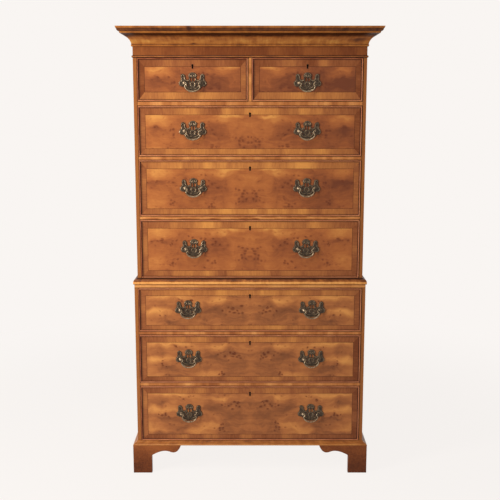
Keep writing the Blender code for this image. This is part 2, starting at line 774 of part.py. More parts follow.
def build_bail():
    """A round bar bent to a bow, with a swan neck and a pin at each end; the origin is on its pins."""
    spread = POST_SPACING / 2
    pin_end = spread + POST_HEAD_RADIUS - PIN_INSET
    neck = spread - POST_HEAD_RADIUS - NECK_STANDOFF
    bend = ellipse_arc((neck, -NECK_BEND), (NECK_BEND, NECK_BEND), 90, 210, 2)
    shoulder = (spread * BAIL_SHOULDER_SHARES[0], -BAIL_DROP * BAIL_SHOULDER_SHARES[1])
    belly = (spread * BAIL_BELLY_SHARE, -BAIL_DROP)
    bow = bezier(bend[-1], shoulder, belly, (0, -BAIL_DROP), BOW_STEPS)
    path = [(pin_end, 0, PIN_RADIUS), (neck + SEAT_GAP, 0, PIN_RADIUS)]
    path += [(x, z, NECK_RADIUS) for x, z in bend]
    for i, (x, z) in enumerate(bow[1:], start=1):
        path.append((x, z, NECK_RADIUS + (GRIP_RADIUS - NECK_RADIUS) * i / BOW_STEPS))
    path += [(-x, z, radius) for x, z, radius in reversed(path[:-1])]
    rings = []
    for i, (x, z, radius) in enumerate(path):
        before = path[max(i - 1, 0)]
        after = path[min(i + 1, len(path) - 1)]
        run = (after[0] - before[0], after[1] - before[1])
        length = math.hypot(*run)
        across = (-run[1] / length, run[0] / length)
        ring = []
        for u, v in ellipse_arc((0, 0), (radius, radius), 0, 360, BAR_SIDES)[:-1]:
            ring.append((x + across[0] * u, v, z + across[1] * u))
        rings.append(ring)
    return shade_round(loft(rings))


def build_drawers(upper_floors, lower_floors):
    """Drawers 1 and 2 are the short ones at the top; the long ones are counted downwards."""
    long_upper = UPPER_WIDTH / 2 - SIDE_THICK
    long_lower = LOWER_WIDTH / 2 - SIDE_THICK
    muntin = MUNTIN_WIDTH / 2
    upper = (UPPER_FRONT, UPPER_DEPTH)
    lower = (LOWER_FRONT, CASE_DEPTH)
    row_4, row_3, row_2, row_1 = upper_floors
    row_7, row_6, row_5 = lower_floors
    bays = (
        (1, -long_upper, -muntin, row_1, ROW_1_OPENING, upper, 0, SHORT_HANDLE_DROP),
        (2, muntin, long_upper, row_1, ROW_1_OPENING, upper, 0, SHORT_HANDLE_DROP),
        (3, -long_upper, long_upper, row_2, ROW_2_OPENING, upper, HANDLE_OFFSET_UPPER, 0),
        (4, -long_upper, long_upper, row_3, ROW_3_OPENING, upper, HANDLE_OFFSET_UPPER, 0),
        (5, -long_upper, long_upper, row_4, ROW_4_OPENING, upper, HANDLE_OFFSET_UPPER, 0),
        (6, -long_lower, long_lower, row_5, ROW_5_OPENING, lower, HANDLE_OFFSET_LOWER, 0),
        (7, -long_lower, long_lower, row_6, ROW_6_OPENING, lower, HANDLE_OFFSET_LOWER, 0),
        (8, -long_lower, long_lower, row_7, ROW_7_OPENING, lower, HANDLE_OFFSET_LOWER, 0),
    )
    plate_mesh = build_backplate()
    bail_mesh = build_bail()
    for number, left, right, floor, opening, (front, depth), offset, drop in bays:
        width = right - left - 2 * DRAWER_GAP
        height = opening - 2 * DRAWER_GAP
        length = depth - BACK_THICK - DRAWER_REAR_GAP
        pivot = height / 2 - drop
        handles = {"_left": -offset, "_right": offset} if offset else {"": 0}
        carrier = bpy.data.objects.new(f"drawer_{number}", None)
        carrier.location = ((left + right) / 2, front, floor + DRAWER_GAP)
        bpy.context.scene.collection.objects.link(carrier)
        face = build_drawer_front(width, height, handles.values(), pivot)
        place(f"drawer_{number}_front", face, YEW_BURR, parent=carrier)
        lining = build_drawer_box(width, height, length)
        place(f"drawer_{number}_box", lining, DRAWER_WOOD, parent=carrier)
        for end, x in handles.items():
            plate = plate_mesh.copy()
            bail = bail_mesh.copy()
            place(f"drawer_{number}_plate{end}", plate, BRASS, (x, -SEAT_GAP, pivot), carrier)
            place(f"drawer_{number}_bail{end}", bail, BRASS, (x, -PIVOT_OUT, pivot), carrier)


UPPER_FLOORS = build_upper_case()
LOWER_FLOORS = build_lower_case()
build_cornice()
build_waist()
build_base()
build_feet()
build_drawers(UPPER_FLOORS, LOWER_FLOORS)
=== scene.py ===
import math
from functools import partial

import bmesh
import bpy
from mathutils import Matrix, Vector
from mathutils.geometry import interpolate_bezier


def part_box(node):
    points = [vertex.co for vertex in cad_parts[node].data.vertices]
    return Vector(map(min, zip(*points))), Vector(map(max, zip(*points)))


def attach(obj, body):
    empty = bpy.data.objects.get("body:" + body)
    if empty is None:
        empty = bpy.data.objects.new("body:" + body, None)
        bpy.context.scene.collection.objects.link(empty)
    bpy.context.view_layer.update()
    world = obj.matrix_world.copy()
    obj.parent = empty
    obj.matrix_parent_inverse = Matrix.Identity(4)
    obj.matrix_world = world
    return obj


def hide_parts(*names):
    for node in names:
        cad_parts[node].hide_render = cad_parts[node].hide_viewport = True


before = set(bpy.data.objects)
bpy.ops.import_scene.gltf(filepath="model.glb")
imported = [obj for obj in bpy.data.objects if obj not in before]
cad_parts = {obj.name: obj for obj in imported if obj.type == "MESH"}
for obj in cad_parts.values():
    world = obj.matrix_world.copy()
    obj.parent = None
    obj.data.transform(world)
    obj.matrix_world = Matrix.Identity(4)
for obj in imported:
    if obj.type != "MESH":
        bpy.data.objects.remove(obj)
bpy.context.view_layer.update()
scene = bpy.context.scene
scene.view_settings.view_transform = "Standard"


# The studio
# A plain pale floor that runs into a backdrop of the same colour, a tall soft lamp on the left that rakes
# across the front, a weak one overhead, and a camera above the chest's middle, tipped downwards.

BACKDROP = "f9f5f2"
FLOOR_RADIUS = 14.0
FLOOR_FADE = (0.9, 2.6)
FLOOR_SHADOW_SHARE = 0.055
AMBIENT = 0.18
LAMPS = (
    ("tall_lamp", (-2.04, -1.52, 1.62), (0.5, 2.5), 78.0),
    ("top_lamp", (-0.60, -1.50, 3.50), (1.6, 1.0), 26.0),
)
LAMP_AIM = Vector((0.0, -0.2, 0.95))
CAMERA_SPOT = (0.0, -3.4656, 1.4733)
CAMERA_TIP = 9.384
CAMERA_LENS = 59.49


def linear(hex_colour):
    """The linear RGBA value of an sRGB hex colour."""
    channels = [int(hex_colour[i : i + 2], 16) / 255 for i in (0, 2, 4)]
    curve = [c / 12.92 if c <= 0.04045 else ((c + 0.055) / 1.055) ** 2.4 for c in channels]
    return (*curve, 1.0)


def feed(node, inputs):
    """Links or sets a node's inputs."""
    for key, value in inputs.items():
        if isinstance(value, bpy.types.NodeSocket):
            node.id_data.links.new(value, node.inputs[key])
        else:
            node.inputs[key].default_value = value


def add_node(tree, kind, *inputs, stops=(), **settings):
    """Adds a node, makes its settings and feeds it, in the order of its inputs or by a dictionary of
    them. Returns its outputs; a kind in capitals is a math operation, and returns its one result."""
    is_math = kind.isupper()
    if is_math:
        kind, settings["operation"] = "Math", kind
    node = tree.nodes.new(kind if "Node" in kind else "ShaderNode" + kind)
    for name, value in settings.items():
        setattr(node, name, value)
    feed(node, inputs[0] if inputs and isinstance(inputs[0], dict) else dict(enumerate(inputs)))
    for i, (place, colour) in enumerate(stops):
        elements = node.color_ramp.elements
        element = elements[i] if i < 2 else elements.new(place)
        element.position = place
        element.color = linear(colour)
    return node.outputs[0] if is_math else node.outputs


def new_object(name, data):
    thing = bpy.data.objects.new(name, data)
    scene.collection.objects.link(thing)
    return thing


def new_mesh(name, shape):
    """The mesh of a bmesh, which is spent."""
    mesh = bpy.data.meshes.new(name)
    shape.to_mesh(mesh)
    shape.free()
    return mesh


world = bpy.data.worlds.new("studio")
scene.world = world
world.use_nodes = True
world.node_tree.nodes.clear()
node = partial(add_node, world.node_tree)
path = node("LightPath")
seen = node("MAXIMUM", path["Is Camera Ray"], path["Is Glossy Ray"])
seen = node("MAXIMUM", seen, path["Is Transmission Ray"])
ambient = node("Background", linear("fdf8f2"), AMBIENT)[0]
backdrop = node("Background", linear(BACKDROP), 1.0)[0]
node("OutputWorld", node("MixShader", seen, ambient, backdrop)[0])

# The floor's paper is the backdrop's colour to the eye, and shows a faint shade about the feet
floor_paper = bpy.data.materials.new("studio_paper")
floor_paper.use_nodes = True
floor_paper.node_tree.nodes.clear()
node = partial(add_node, floor_paper.node_tree)
distance = node("VectorMath", node("TexCoord")["Object"], operation="LENGTH")["Value"]
shade = node("MapRange", distance, *FLOOR_FADE, FLOOR_SHADOW_SHARE, 0.0, interpolation_type="SMOOTHSTEP")[0]
path = node("LightPath")
seen = node("MAXIMUM", path["Is Camera Ray"], path["Is Glossy Ray"])
paint = node("MULTIPLY", seen, node("SUBTRACT", 1.0, shade))
paper = node("BsdfDiffuse", linear("f4f0ec"))[0]
glow = node("Emission", linear(BACKDROP), 1.0)[0]
node("OutputMaterial", node("MixShader", paint, paper, glow)[0])

shape = bmesh.new()
bmesh.ops.create_circle(shape, cap_ends=True, segments=96, radius=FLOOR_RADIUS)
studio_floor = new_object("studio_floor", new_mesh("studio_floor", shape))
studio_floor.data.materials.append(floor_paper)

for name, spot, (width, height), power in LAMPS:
    lamp = bpy.data.lights.new(name, "AREA")
    lamp.shape = "RECTANGLE"
    lamp.size = width
    lamp.size_y = height
    lamp.energy = power
    lamp.color = linear("fffaf2")[:3]
    holder = new_object(name, lamp)
    holder.location = spot
    holder.rotation_euler = (Vector(spot) - LAMP_AIM).to_track_quat("Z", "Y").to_euler()

camera = bpy.data.cameras.new("camera")
camera.lens = CAMERA_LENS
holder = new_object("camera", camera)
holder.location = CAMERA_SPOT
holder.rotation_euler = (math.radians(90.0 - CAMERA_TIP), 0.0, 0.0)
scene.camera = holder


# The bracket feet
# Four ogee-cut bracket feet of red-brown yew, each of two boards mitred at the corner and rubbed with
# glue against a pine block inside. They carry the base moulding.

FOOT_TOP = 0.1187
FOOT_WIDTH = 0.077
FOOT_THICK = 0.020
FOOT_HALF_SPAN = 0.483
FOOT_ROWS = (("front", -0.22775, 1), ("rear", 0.25525, -1))
GLUE_BLOCK = 0.042
BLOCK_LIFT = 0.001
FRONT_BRACKET = 0.197
SIDE_BRACKET = 0.170
REAR_BRACKET = 0.110
BRACKET_SPRING = 0.0762
BRACKET_ARCH = ((0.167, 0.0881), (0.39, 0.1012), (0.60, 0.0925))
BRACKET_TAIL = ((0.742, 0.0850), (0.892, 0.0840))
BRACKET_STEPS = 14


def bezier(knot_a, handle_a, handle_b, knot_b, steps):
    """Points of a cubic curve in a plane, with both ends."""
    corners = [(u, v, 0) for u, v in (knot_a, handle_a, handle_b, knot_b)]
    return [(point[0], point[1]) for point in interpolate_bezier(*corners, steps + 1)]


def add_loft(shape, rings, closed=False):
    """Joins rings of equal count one to the next, and closes the two ends, or joins last to first."""
    rows = [[shape.verts.new(point) for point in ring] for ring in rings]
    pairs = zip(rows[-1:] + rows, rows) if closed else zip(rows, rows[1:])
    for near, far in pairs:
        for i in range(len(near)):
            shape.faces.new((near[i - 1], near[i], far[i], far[i - 1]))
    if not closed:
        shape.faces.new(rows[0])
        shape.faces.new(rows[-1])


def add_box(shape, low, high):
    (x0, y0, z0), (x1, y1, z1) = low, high
    add_loft(shape, [[(x0, y0, z), (x1, y0, z), (x1, y1, z), (x0, y1, z)] for z in (z0, z1)])


def new_piece(name, shape, *materials):
    """A piece from a bmesh, its faces turned outwards."""
    bmesh.ops.recalc_face_normals(shape, faces=shape.faces)
    piece = new_object(name, new_mesh(name, shape))
    for material in materials:
        piece.data.materials.append(material)
    return piece


def ease_edges(piece, width, segments=2):
    """Hand-eased edges: a narrow round on every corner of the piece."""
    piece.data.shade_smooth()
    bevel = piece.modifiers.new("eased_edges", "BEVEL")
    bevel.width = width
    bevel.segments = segments
    bevel.limit_method = "ANGLE"
    bevel.angle_limit = math.radians(32.0)
    bevel.harden_normals = True


def fit(piece, body, solid=None):
    """Puts a piece on its body, and in the place of a solid if one is named, which it hides."""
    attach(piece, body)
    if solid:
        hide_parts(solid)


def start_material(name):
    """A new material; with it come a way to add nodes to it, its shader, and the place in space."""
    material = bpy.data.materials.new(name)
    material.use_nodes = True
    node = partial(add_node, material.node_tree)
    return material, node, material.node_tree.nodes["Principled BSDF"], node("TexCoord")["Object"]


def finish_wood(node, shader, colour, relief, depth, roughness, coat=0.0, stops=()):
    """Puts a colour, or a tone and its colour stops, and a fine relief on waxed or bare wood."""
    if stops:
        colour = node("ValToRGB", colour, stops=stops)[0]
    bump = node("Bump", {"Height": relief, "Distance": depth, "Strength": 1.0})[0]
    sheen = node("MapRange", relief, 0.0, 1.0, *roughness)[0]
    feed(shader, {"Base Color": colour, "Normal": bump, "Roughness": sheen, "IOR": 1.5})
    feed(shader, {"Coat Weight": coat, "Coat Roughness": 0.16, "Specular IOR Level": 0.14})


def add_grain(node, along, across, depth, size, seed):
    """Long wood fibres: noise drawn out along the grain; the sizes are the fibre's length and width."""
    length, width = size
    point = [node("DIVIDE", *pair) for pair in ((along, length), (across, width), (depth, width))]
    point = node("CombineXYZ", *point)[0]
    look = {"Vector": point, "W": seed, "Scale": 1.0, "Detail": 3.0, "Roughness": 0.55}
    return node("TexNoise", look, noise_dimensions="4D")["Fac"]


def add_blot(node, point, centre, size, lean, strength):
    """A soft-edged patch of darker or lighter wood, drawn out and leaning as given."""
    turn = (0.0, 0.0, math.radians(lean))
    place = node("Mapping", point, (*centre, 0.0), turn, (*size, 1.0), vector_type="TEXTURE")[0]
    return node("MULTIPLY", node("TexGradient", place, gradient_type="SPHERICAL")["Fac"], strength)


# Solid yew, stained red-brown: dark straight streaks a few millimetres apart that run along the boards
YEW_BRACKET, node, shader, point = start_material("stained_yew_solid")
x, y, z = node("SeparateXYZ", point)
run = node("ADD", x, y)
streaks = add_grain(node, run, z, node("SUBTRACT", x, y), (0.11, 0.0065), 2.0)
clouds = add_grain(node, run, z, y, (0.045, 0.030), 5.0)
# Each foot is painted paler towards its top and darker low down: painted light from above
tone = node("MULTIPLY_ADD", node("ADD", streaks, clouds), 0.58, node("MULTIPLY_ADD", z, 2.6, -0.26))
flame = add_blot(node, node("CombineXYZ", x, z)[0], (-0.385, 0.112), (0.110, 0.034), 0, 0.38)
FOOT_TONES = ((0.12, "431f0e"), (0.36, "5f2f16"), (0.58, "78401f"), (0.85, "905228"))
finish_wood(node, shader, node("ADD", tone, flame), streaks, 0.00015, (0.30, 0.46), 0.05, FOOT_TONES)


def finish_board(node, shader, rings, fibres, fibre_share, stops, roughness):
    """Bare wood, never polished: broad soft rings under dry fibres."""
    tone = node("MULTIPLY_ADD", fibres, fibre_share, node("MULTIPLY", rings, 1.0 - fibre_share))
    finish_wood(node, shader, tone, fibres, 0.0002, roughness, stops=stops)


# Sawn pine of the hidden blocks and boards: pale, dry and matt
PINE, node, shader, point = start_material("sawn_pine")
x, y, z = node("SeparateXYZ", point)
rings = add_grain(node, x, node("ADD", y, z), z, (0.30, 0.011), 1.0)
fibres = add_grain(node, x, y, z, (0.040, 0.0016), 4.0)
PINE_TONES = ((0.25, "8d6239"), (0.48, "ad7f4f"), (0.70, "c39a68"))
finish_board(node, shader, rings, fibres, 0.35, PINE_TONES, (0.55, 0.72))


def bracket_outline(length):
    """A bracket board seen from its face: (distance from the corner, height)."""
    reach = length - FOOT_WIDTH
    arch_a, arch_b, dip = [(FOOT_WIDTH + share * reach, z) for share, z in BRACKET_ARCH]
    tail_a, tail_b = [(FOOT_WIDTH + share * reach, z) for share, z in BRACKET_TAIL]
    arch = bezier((FOOT_WIDTH, BRACKET_SPRING), arch_a, arch_b, dip, BRACKET_STEPS)
    tail = bezier(dip, tail_a, tail_b, (length, FOOT_TOP), BRACKET_STEPS)
    return [(0, 0), (FOOT_WIDTH, 0), *arch, *tail[1:], (0, FOOT_TOP)]


for end, side in (("left", -1), ("right", 1)):
    for row, corner, inward in FOOT_ROWS:
        outline = bracket_outline(FRONT_BRACKET)
        if row == "rear":
            outline = [(0, 0), (FOOT_WIDTH, 0), (REAR_BRACKET, FOOT_TOP), (0, FOOT_TOP)]
        across, along = [], []
        for depth in (0, FOOT_THICK):
            y = corner + inward * depth
            across.append([(side * (FOOT_HALF_SPAN - max(u, depth)), y, z) for u, z in outline])
            x = side * (FOOT_HALF_SPAN - depth)
            along.append([(x, corner + inward * max(u, depth), z) for u, z in bracket_outline(SIDE_BRACKET)])
        shape = bmesh.new()
        add_loft(shape, across)
        add_loft(shape, along)
        bracket = new_piece(f"bracket_{row}_{end}", shape, YEW_BRACKET)
        ease_edges(bracket, 0.0008)
        fit(bracket, "case", f"foot_{row}_{end}")

        shape = bmesh.new()
        inner = FOOT_HALF_SPAN - FOOT_THICK
        x0, x1 = sorted((side * inner, side * (inner - GLUE_BLOCK)))
        y0, y1 = sorted((corner + inward * FOOT_THICK, corner + inward * (FOOT_THICK + GLUE_BLOCK)))
        add_box(shape, (x0, y0, BLOCK_LIFT), (x1, y1, FOOT_TOP))
        block = new_piece(f"glue_block_{row}_{end}", shape, PINE)
        ease_edges(block, 0.0015)
        fit(block, "case", f"foot_{row}_{end}")


# The mouldings
# The base moulding, the waist moulding, the astragal under the frieze and the cornice: lengths of yew
# worked to a profile with a plane, mitred at the two front corners and glued on round three sides.

CASE_HALF = {"lower": 0.465, "upper": 0.453}
CASE_FRONT = {"lower": -0.20975, "upper": -0.19775}
CASE_BACK = 0.25525
MITRE_SHORTFALL = 1.0 - math.sqrt(0.5)
EASED_TURN = math.radians(28.0)
EASED_WIDTH = 0.0004
WELD = 1e-6


def new_tree(name, sizes):
    """A node tree that takes a mesh, named sizes and a material; with it come a way to add nodes to it
    and its inputs."""
    tree = bpy.data.node_groups.new(name, "GeometryNodeTree")
    tree.interface.new_socket("Geometry", in_out="INPUT", socket_type="NodeSocketGeometry")
    tree.interface.new_socket("Geometry", in_out="OUTPUT", socket_type="NodeSocketGeometry")
    for label, value in sizes.items():
        kind = "NodeSocketInt" if isinstance(value, int) else "NodeSocketFloat"
        tree.interface.new_socket(label, in_out="INPUT", socket_type=kind).default_value = value
    tree.interface.new_socket("Material", in_out="INPUT", socket_type="NodeSocketMaterial")
    return tree, partial(add_node, tree), add_node(tree, "NodeGroupInput")


def close_tree(node, geometry, given):
    geometry = node("GeometryNodeRealizeInstances", geometry)[0]
    geometry = node("GeometryNodeSetMaterial", {"Geometry": geometry, "Material": given["Material"]})[0]
    node("NodeGroupOutput", geometry)


def grow(name, mesh, tree, material, **sizes):
    """The plain mesh that a node tree makes from this one, as a piece."""
    base = new_object(name, mesh)
    modifier = base.modifiers.new(name, "NODES")
    modifier.node_group = tree
    values = {label.replace("_", " "): value for label, value in sizes.items()} | {"material": material}
    for socket in tree.interface.items_tree:
        if socket.in_out == "INPUT" and socket.name.lower() in values:
            modifier[socket.identifier] = values[socket.name.lower()]
    graph = bpy.context.evaluated_depsgraph_get()
    result = bpy.data.meshes.new_from_object(base.evaluated_get(graph))
    bpy.data.objects.remove(base)
    result.name = name
    return new_object(name, result)


# The profile's points are (out, height); the path runs from the back on the left round to the right
MITRED_RUN, node, given = new_tree("mitred_run", {"Half Width": 0.5, "Front": -0.2, "Back": 0.25})
stations = []
for side in (node("MULTIPLY", given["Half Width"], -1.0), given["Half Width"]):
    pair = [node("CombineXYZ", side, given[end])[0] for end in ("Back", "Front")]
    stations += pair[::-1] if stations else pair
corner_cuts = [(side * MITRE_SHORTFALL, -MITRE_SHORTFALL, 0) for side in (-1, 1)]
mitres = ((0, 0, 0), *corner_cuts, (0, 0, 0))
index = node("GeometryNodeInputIndex")[0]
switches = []
for values in (stations, mitres):
    switch = MITRED_RUN.nodes.new("GeometryNodeIndexSwitch")
    switch.data_type = "VECTOR"
    while len(switch.index_switch_items) < len(values):
        switch.index_switch_items.new()
    feed(switch, dict(enumerate((index, *values))))
    switches.append(switch.outputs[0])
store = partial(node, "GeometryNodeStoreNamedAttribute")
line = node("GeometryNodeMeshLine", {"Count": 4})[0]
line = node("GeometryNodeSetPosition", {"Geometry": line, "Position": switches[0]})[0]
line = store({"Geometry": line, "Name": "mitre", "Value": switches[1]}, data_type="FLOAT_VECTOR")[0]
line = node("GeometryNodeMeshToCurve", line)[0]
profile = node("GeometryNodeMeshToCurve", given["Geometry"])[0]
out = node("SeparateXYZ", node("GeometryNodeInputPosition")[0])["X"]
profile = store({"Geometry": profile, "Name": "out", "Value": out})[0]
reach = node("GeometryNodeSplineParameter")["Length"]
line = store({"Geometry": line, "Name": "run", "Value": reach})[0]
profile = store({"Geometry": profile, "Name": "girth", "Value": reach})[0]
swept = node("GeometryNodeCurveToMesh", {"Curve": line, "Profile Curve": profile, "Fill Caps": True})[0]
read = {}
for label, kind in (("mitre", "FLOAT_VECTOR"), ("out", "FLOAT"), ("run", "FLOAT"), ("girth", "FLOAT")):
    read[label] = node("GeometryNodeInputNamedAttribute", label, data_type=kind)[0]
shift = node("VectorMath", {0: read["mitre"], "Scale": read["out"]}, operation="SCALE")[0]
swept = node("GeometryNodeSetPosition", {"Geometry": swept, "Offset": shift})[0]
unrolled = node("CombineXYZ", read["run"], read["girth"])[0]
swept = store({"Geometry": swept, "Name": "grain", "Value": unrolled}, data_type="FLOAT2", domain="CORNER")[0]
close_tree(node, swept, given)


def eased(points):
    """The closed profile with its sharp corners rounded by two small steps."""
    result = []
    for i, point in enumerate(points):
        before, here, after = (Vector(points[j]) for j in (i - 1, i, (i + 1) % len(points)))
        if (here - before).angle(after - here) < EASED_TURN:
            result.append(point)
            continue
        back = (before - here).normalized()
        ahead = (after - here).normalized()
        cut = min(EASED_WIDTH, (before - here).length / 3, (after - here).length / 3)
        result += [tuple(here + way * cut) for way in (back, (back + ahead) * 0.29, ahead)]
    return result


def smooth(mesh, degrees):
    """Smooth shading, with the edges that turn by more than this left sharp."""
    mesh.shade_smooth()
    mesh.set_sharp_from_angle(angle=math.radians(degrees))


def run_moulding(name, profile, case, material, foot, solid=None):
    """A moulding on three sides of a case, from a profile of (out, height) points above its foot."""
    points = [(out, -height - foot, 0.0) for out, height in eased(profile)]
    mesh = bpy.data.meshes.new(name)
    mesh.from_pydata(points, [(i, (i + 1) % len(points)) for i in range(len(points))], [])
    sizes = {"half_width": CASE_HALF[case], "front": CASE_FRONT[case], "back": CASE_BACK}
    piece = grow(name, mesh, MITRED_RUN, material, **sizes)
    shape = bmesh.new()
    shape.from_mesh(piece.data)
    bmesh.ops.remove_doubles(shape, verts=shape.verts, dist=WELD)
    bmesh.ops.recalc_face_normals(shape, faces=shape.faces)
    shape.to_mesh(piece.data)
    shape.free()
    smooth(piece.data, 35.0)
    fit(piece, "case", solid)


def ellipse_arc(centre, radii, start, end, steps):
    """Points of an ellipse from one angle to another, in degrees, with both ends."""
    angles = [math.radians(start + (end - start) * i / steps) for i in range(steps + 1)]
    return [(centre[0] + radii[0] * math.cos(a), centre[1] + radii[1] * math.sin(a)) for a in angles]


def moulding_wood(name, stops, streak_size, painted_light, knots=()):
    """Planed yew under shellac and wax, laid in short lengths; its streaks turn with each mitre.
    The painted light is bands of (start, end, softness, depth of tone) along the profile: painted shade in
    the hollows and under overhangs, and a depth below nothing is a painted highlight on a crest. The knots
    are blots, each given by its place and size."""
    material, node, shader, _ = start_material(name)
    along, across, _ = node("SeparateXYZ", node("UVMap", uv_map="grain")[0])
    streaks = add_grain(node, along, across, across, streak_size, 3.0)
    clouds = add_grain(node, along, across, across, (0.040, 0.03), 8.0)
    tone = node("MULTIPLY_ADD", streaks, 0.45, node("MULTIPLY_ADD", clouds, 0.70, -0.07))
    # Painted shade and painted highlights, in bands across the profile
    for start, end, soft, depth in painted_light:
        rise = node("MapRange", across, start - soft, start + soft)[0]
        fall = node("MapRange", across, end + soft, end - soft)[0]
        tone = node("MULTIPLY_ADD", node("MULTIPLY", rise, fall), -depth, tone)
    point = node("CombineXYZ", along, across)[0]
    for knot in knots:
        mottled = node("MULTIPLY", add_blot(node, point, *knot), node("ADD", clouds, 0.4))
        tone = node("ADD", tone, mottled)
    finish_wood(node, shader, tone, streaks, 0.0001, (0.26, 0.38), 0.08, stops)
    return material


# Yew of the lower mouldings: warm orange-brown with thin darker streaks
BASE_TONES = ((0.02, "3a1a0b"), (0.28, "6f3d1f"), (0.46, "945829"), (0.62, "ab6d36"), (0.78, "bd8143"))
# Painted shade in a hollow of the base moulding, and painted highlights on two of its crests
BASE_PAINTED_LIGHT = (
    (0.0370, 0.0405, 0.0006, 0.10), (0.0170, 0.0235, 0.0010, -0.16), (0.0425, 0.0460, 0.0004, -0.15),
)
YEW_BASE = moulding_wood("polished_yew_base_moulding", BASE_TONES, (0.012, 0.05), BASE_PAINTED_LIGHT)
sweep = bezier((0.018, 0.0022), (0.01195, 0.00952), (0.0040, 0.00869), (0.0036, 0.0140), 16)
base_profile = [(0.0003, 0), (0.018, 0), *sweep, (0.0026, 0.0140), (0.0026, 0.016), (0.0003, 0.016)]
run_moulding("base_run", base_profile, "lower", YEW_BASE, foot=0.119, solid="base_moulding")

# The waist is painted paler than the other mouldings, as painted light from above on its nose, with painted
# shade under its nose and over its fillet and a painted highlight on its crown
WAIST_LIT_TONES = ((0.02, "3f1d0c"), (0.28, "7e4721"), (0.46, "b26e35"), (0.62, "d08c4a"), (0.78, "e2a35c"))
WAIST_PAINTED_LIGHT = (
    (0.0040, 0.0099, 0.0008, 0.62), (0.0112, 0.0186, 0.0012, -0.25), (0.0208, 0.0310, 0.0020, 0.25),
    (0.0310, 0.0366, 0.0010, 0.42), (0.0366, 0.0460, 0.0006, 0.85),
)
YEW_WAIST = moulding_wood("polished_yew_waist", WAIST_LIT_TONES, (0.010, 0.05), WAIST_PAINTED_LIGHT)
ovolo = ellipse_arc((-0.0075, 0.0032), (0.012, 0.0128), 0, 90, 14)
waist_profile = [
    (0.0003, 0.0003), (0.0003, -0.0048), (0.0032, -0.0048), (0.0042, -0.0043), (0.0045, -0.0035), *ovolo,
    (-0.0085, 0.0160), (-0.0085, 0.0195), (-0.0117, 0.0195), (-0.0117, 0.0003),
]
run_moulding("waist_run", waist_profile, "lower", YEW_WAIST, foot=0.8000, solid="waist_moulding")

# The astragal is painted dark on either side of its nose: painted shade where it meets the frieze and
# overhangs the drawers
ASTRAGAL_PAINTED_LIGHT = ((0.0, 0.0070, 0.0010, 0.52), (0.0104, 0.0170, 0.0012, 0.50))
YEW_ASTRAGAL = moulding_wood("polished_yew_astragal", BASE_TONES, (0.12, 0.004), ASTRAGAL_PAINTED_LIGHT)
nose = ellipse_arc((0, 0.00425), (0.00415, 0.0044), -90, 90, 16)
astragal_profile = [(-0.002, -0.00015), *nose, (-0.002, 0.00865)]
run_moulding("frieze_astragal", astragal_profile, "upper", YEW_ASTRAGAL, foot=1.6858)

# Yew of the cornice: the same wood, with painted shade in its ovolo, its upper cove and at the cove's foot,
# and painted highlights on its fillet and lower cove
CORNICE_TONES = ((0.02, "3a1b0b"), (0.28, "6e3d1a"), (0.46, "925524"), (0.62, "aa6c30"), (0.78, "bf8540"))
CORNICE_PAINTED_LIGHT = (
    (0.0945, 0.1110, 0.0012, 0.34), (0.0868, 0.0916, 0.0008, -0.22), (0.0640, 0.0860, 0.0080, 0.56),
    (0.0310, 0.0470, 0.0050, -0.10), (0.0262, 0.0290, 0.0010, 0.42),
)
CORNICE_KNOTS = (
    ((1.312, 0.044), (0.044, 0.014), 0, -0.50),
    ((0.690, 0.030), (0.016, 0.006), 0, -0.50),
    ((0.700, 0.112), (0.012, 0.014), 0, -0.50),
)
YEW_CORNICE = moulding_wood(
    "polished_yew_cornice", CORNICE_TONES, (0.010, 0.06), CORNICE_PAINTED_LIGHT, CORNICE_KNOTS
)
cove = bezier((0.0038, 0.0068), (0.004946, 0.022478), (0.019844, 0.038156), (0.042, 0.047), 22)
ovolo = ellipse_arc((0.0440, 0.0628), (0.0092, 0.0105), -90, 0, 12)
cornice_profile = [
    (-0.015, 0), (0.005, 0), (0.005, 0.0068), *cove, (0.0435, 0.047), (0.0435, 0.0523), *ovolo,
    (0.0548, 0.0628), (0.0575, 0.0695), (0.0575, 0.0715), (-0.015, 0.0715),
]
run_moulding("cornice_run", cornice_profile, "upper", YEW_CORNICE, foot=1.7285, solid="cornice")

# The dust top and the back rail behind the cornice, of sawn pine
TOP_HALF = 0.4378
TOP_LEVEL = 1.7970
TOP_BOARDS = ((-0.1826, 0.2400, 1.7870), (0.2402, CASE_BACK, 1.7286))
shape = bmesh.new()
for near, far, foot in TOP_BOARDS:
    add_box(shape, (-TOP_HALF, near, foot), (TOP_HALF, far, TOP_LEVEL))
dust_top = new_piece("cornice_dust_top", shape, PINE)
ease_edges(dust_top, 0.0008)
fit(dust_top, "case", "cornice")


# The two carcases
# Boxes dovetailed from pine boards. Yew veneer with upright grain covers the sides, narrow strips of it
# the front edges, and short lengths laid crosswise the frieze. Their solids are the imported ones.

STRIP_TONES = ((0.18, "75421f"), (0.42, "8f552b"), (0.64, "a36734"), (0.86, "b67a41"))
FRIEZE_TONES = ((0.18, "5a2c14"), (0.42, "733c1c"), (0.64, "8d5127"), (0.86, "a96a36"))
WAIST_RAIL_LIT_TONES = ((0.18, "a9683a"), (0.42, "c58249"), (0.64, "d89858"), (0.86, "e8ad68"))
FLANK_TONES = ((0.33, "6a3a1d"), (0.45, "915329"), (0.55, "aa6632"), (0.68, "c3803e"))
# Dirt and painted shade along the gaps round the drawers
DIRT_AND_SHADE = linear("35130a")
DIRT_AND_SHADE_WIDTH = 0.0030
SKIN = 0.0005
DRAWER_PLAY = 0.001
RAIL_DIRT_AND_SHADE_RISE = 0.0015
FRIEZE_FOOT = 1.690


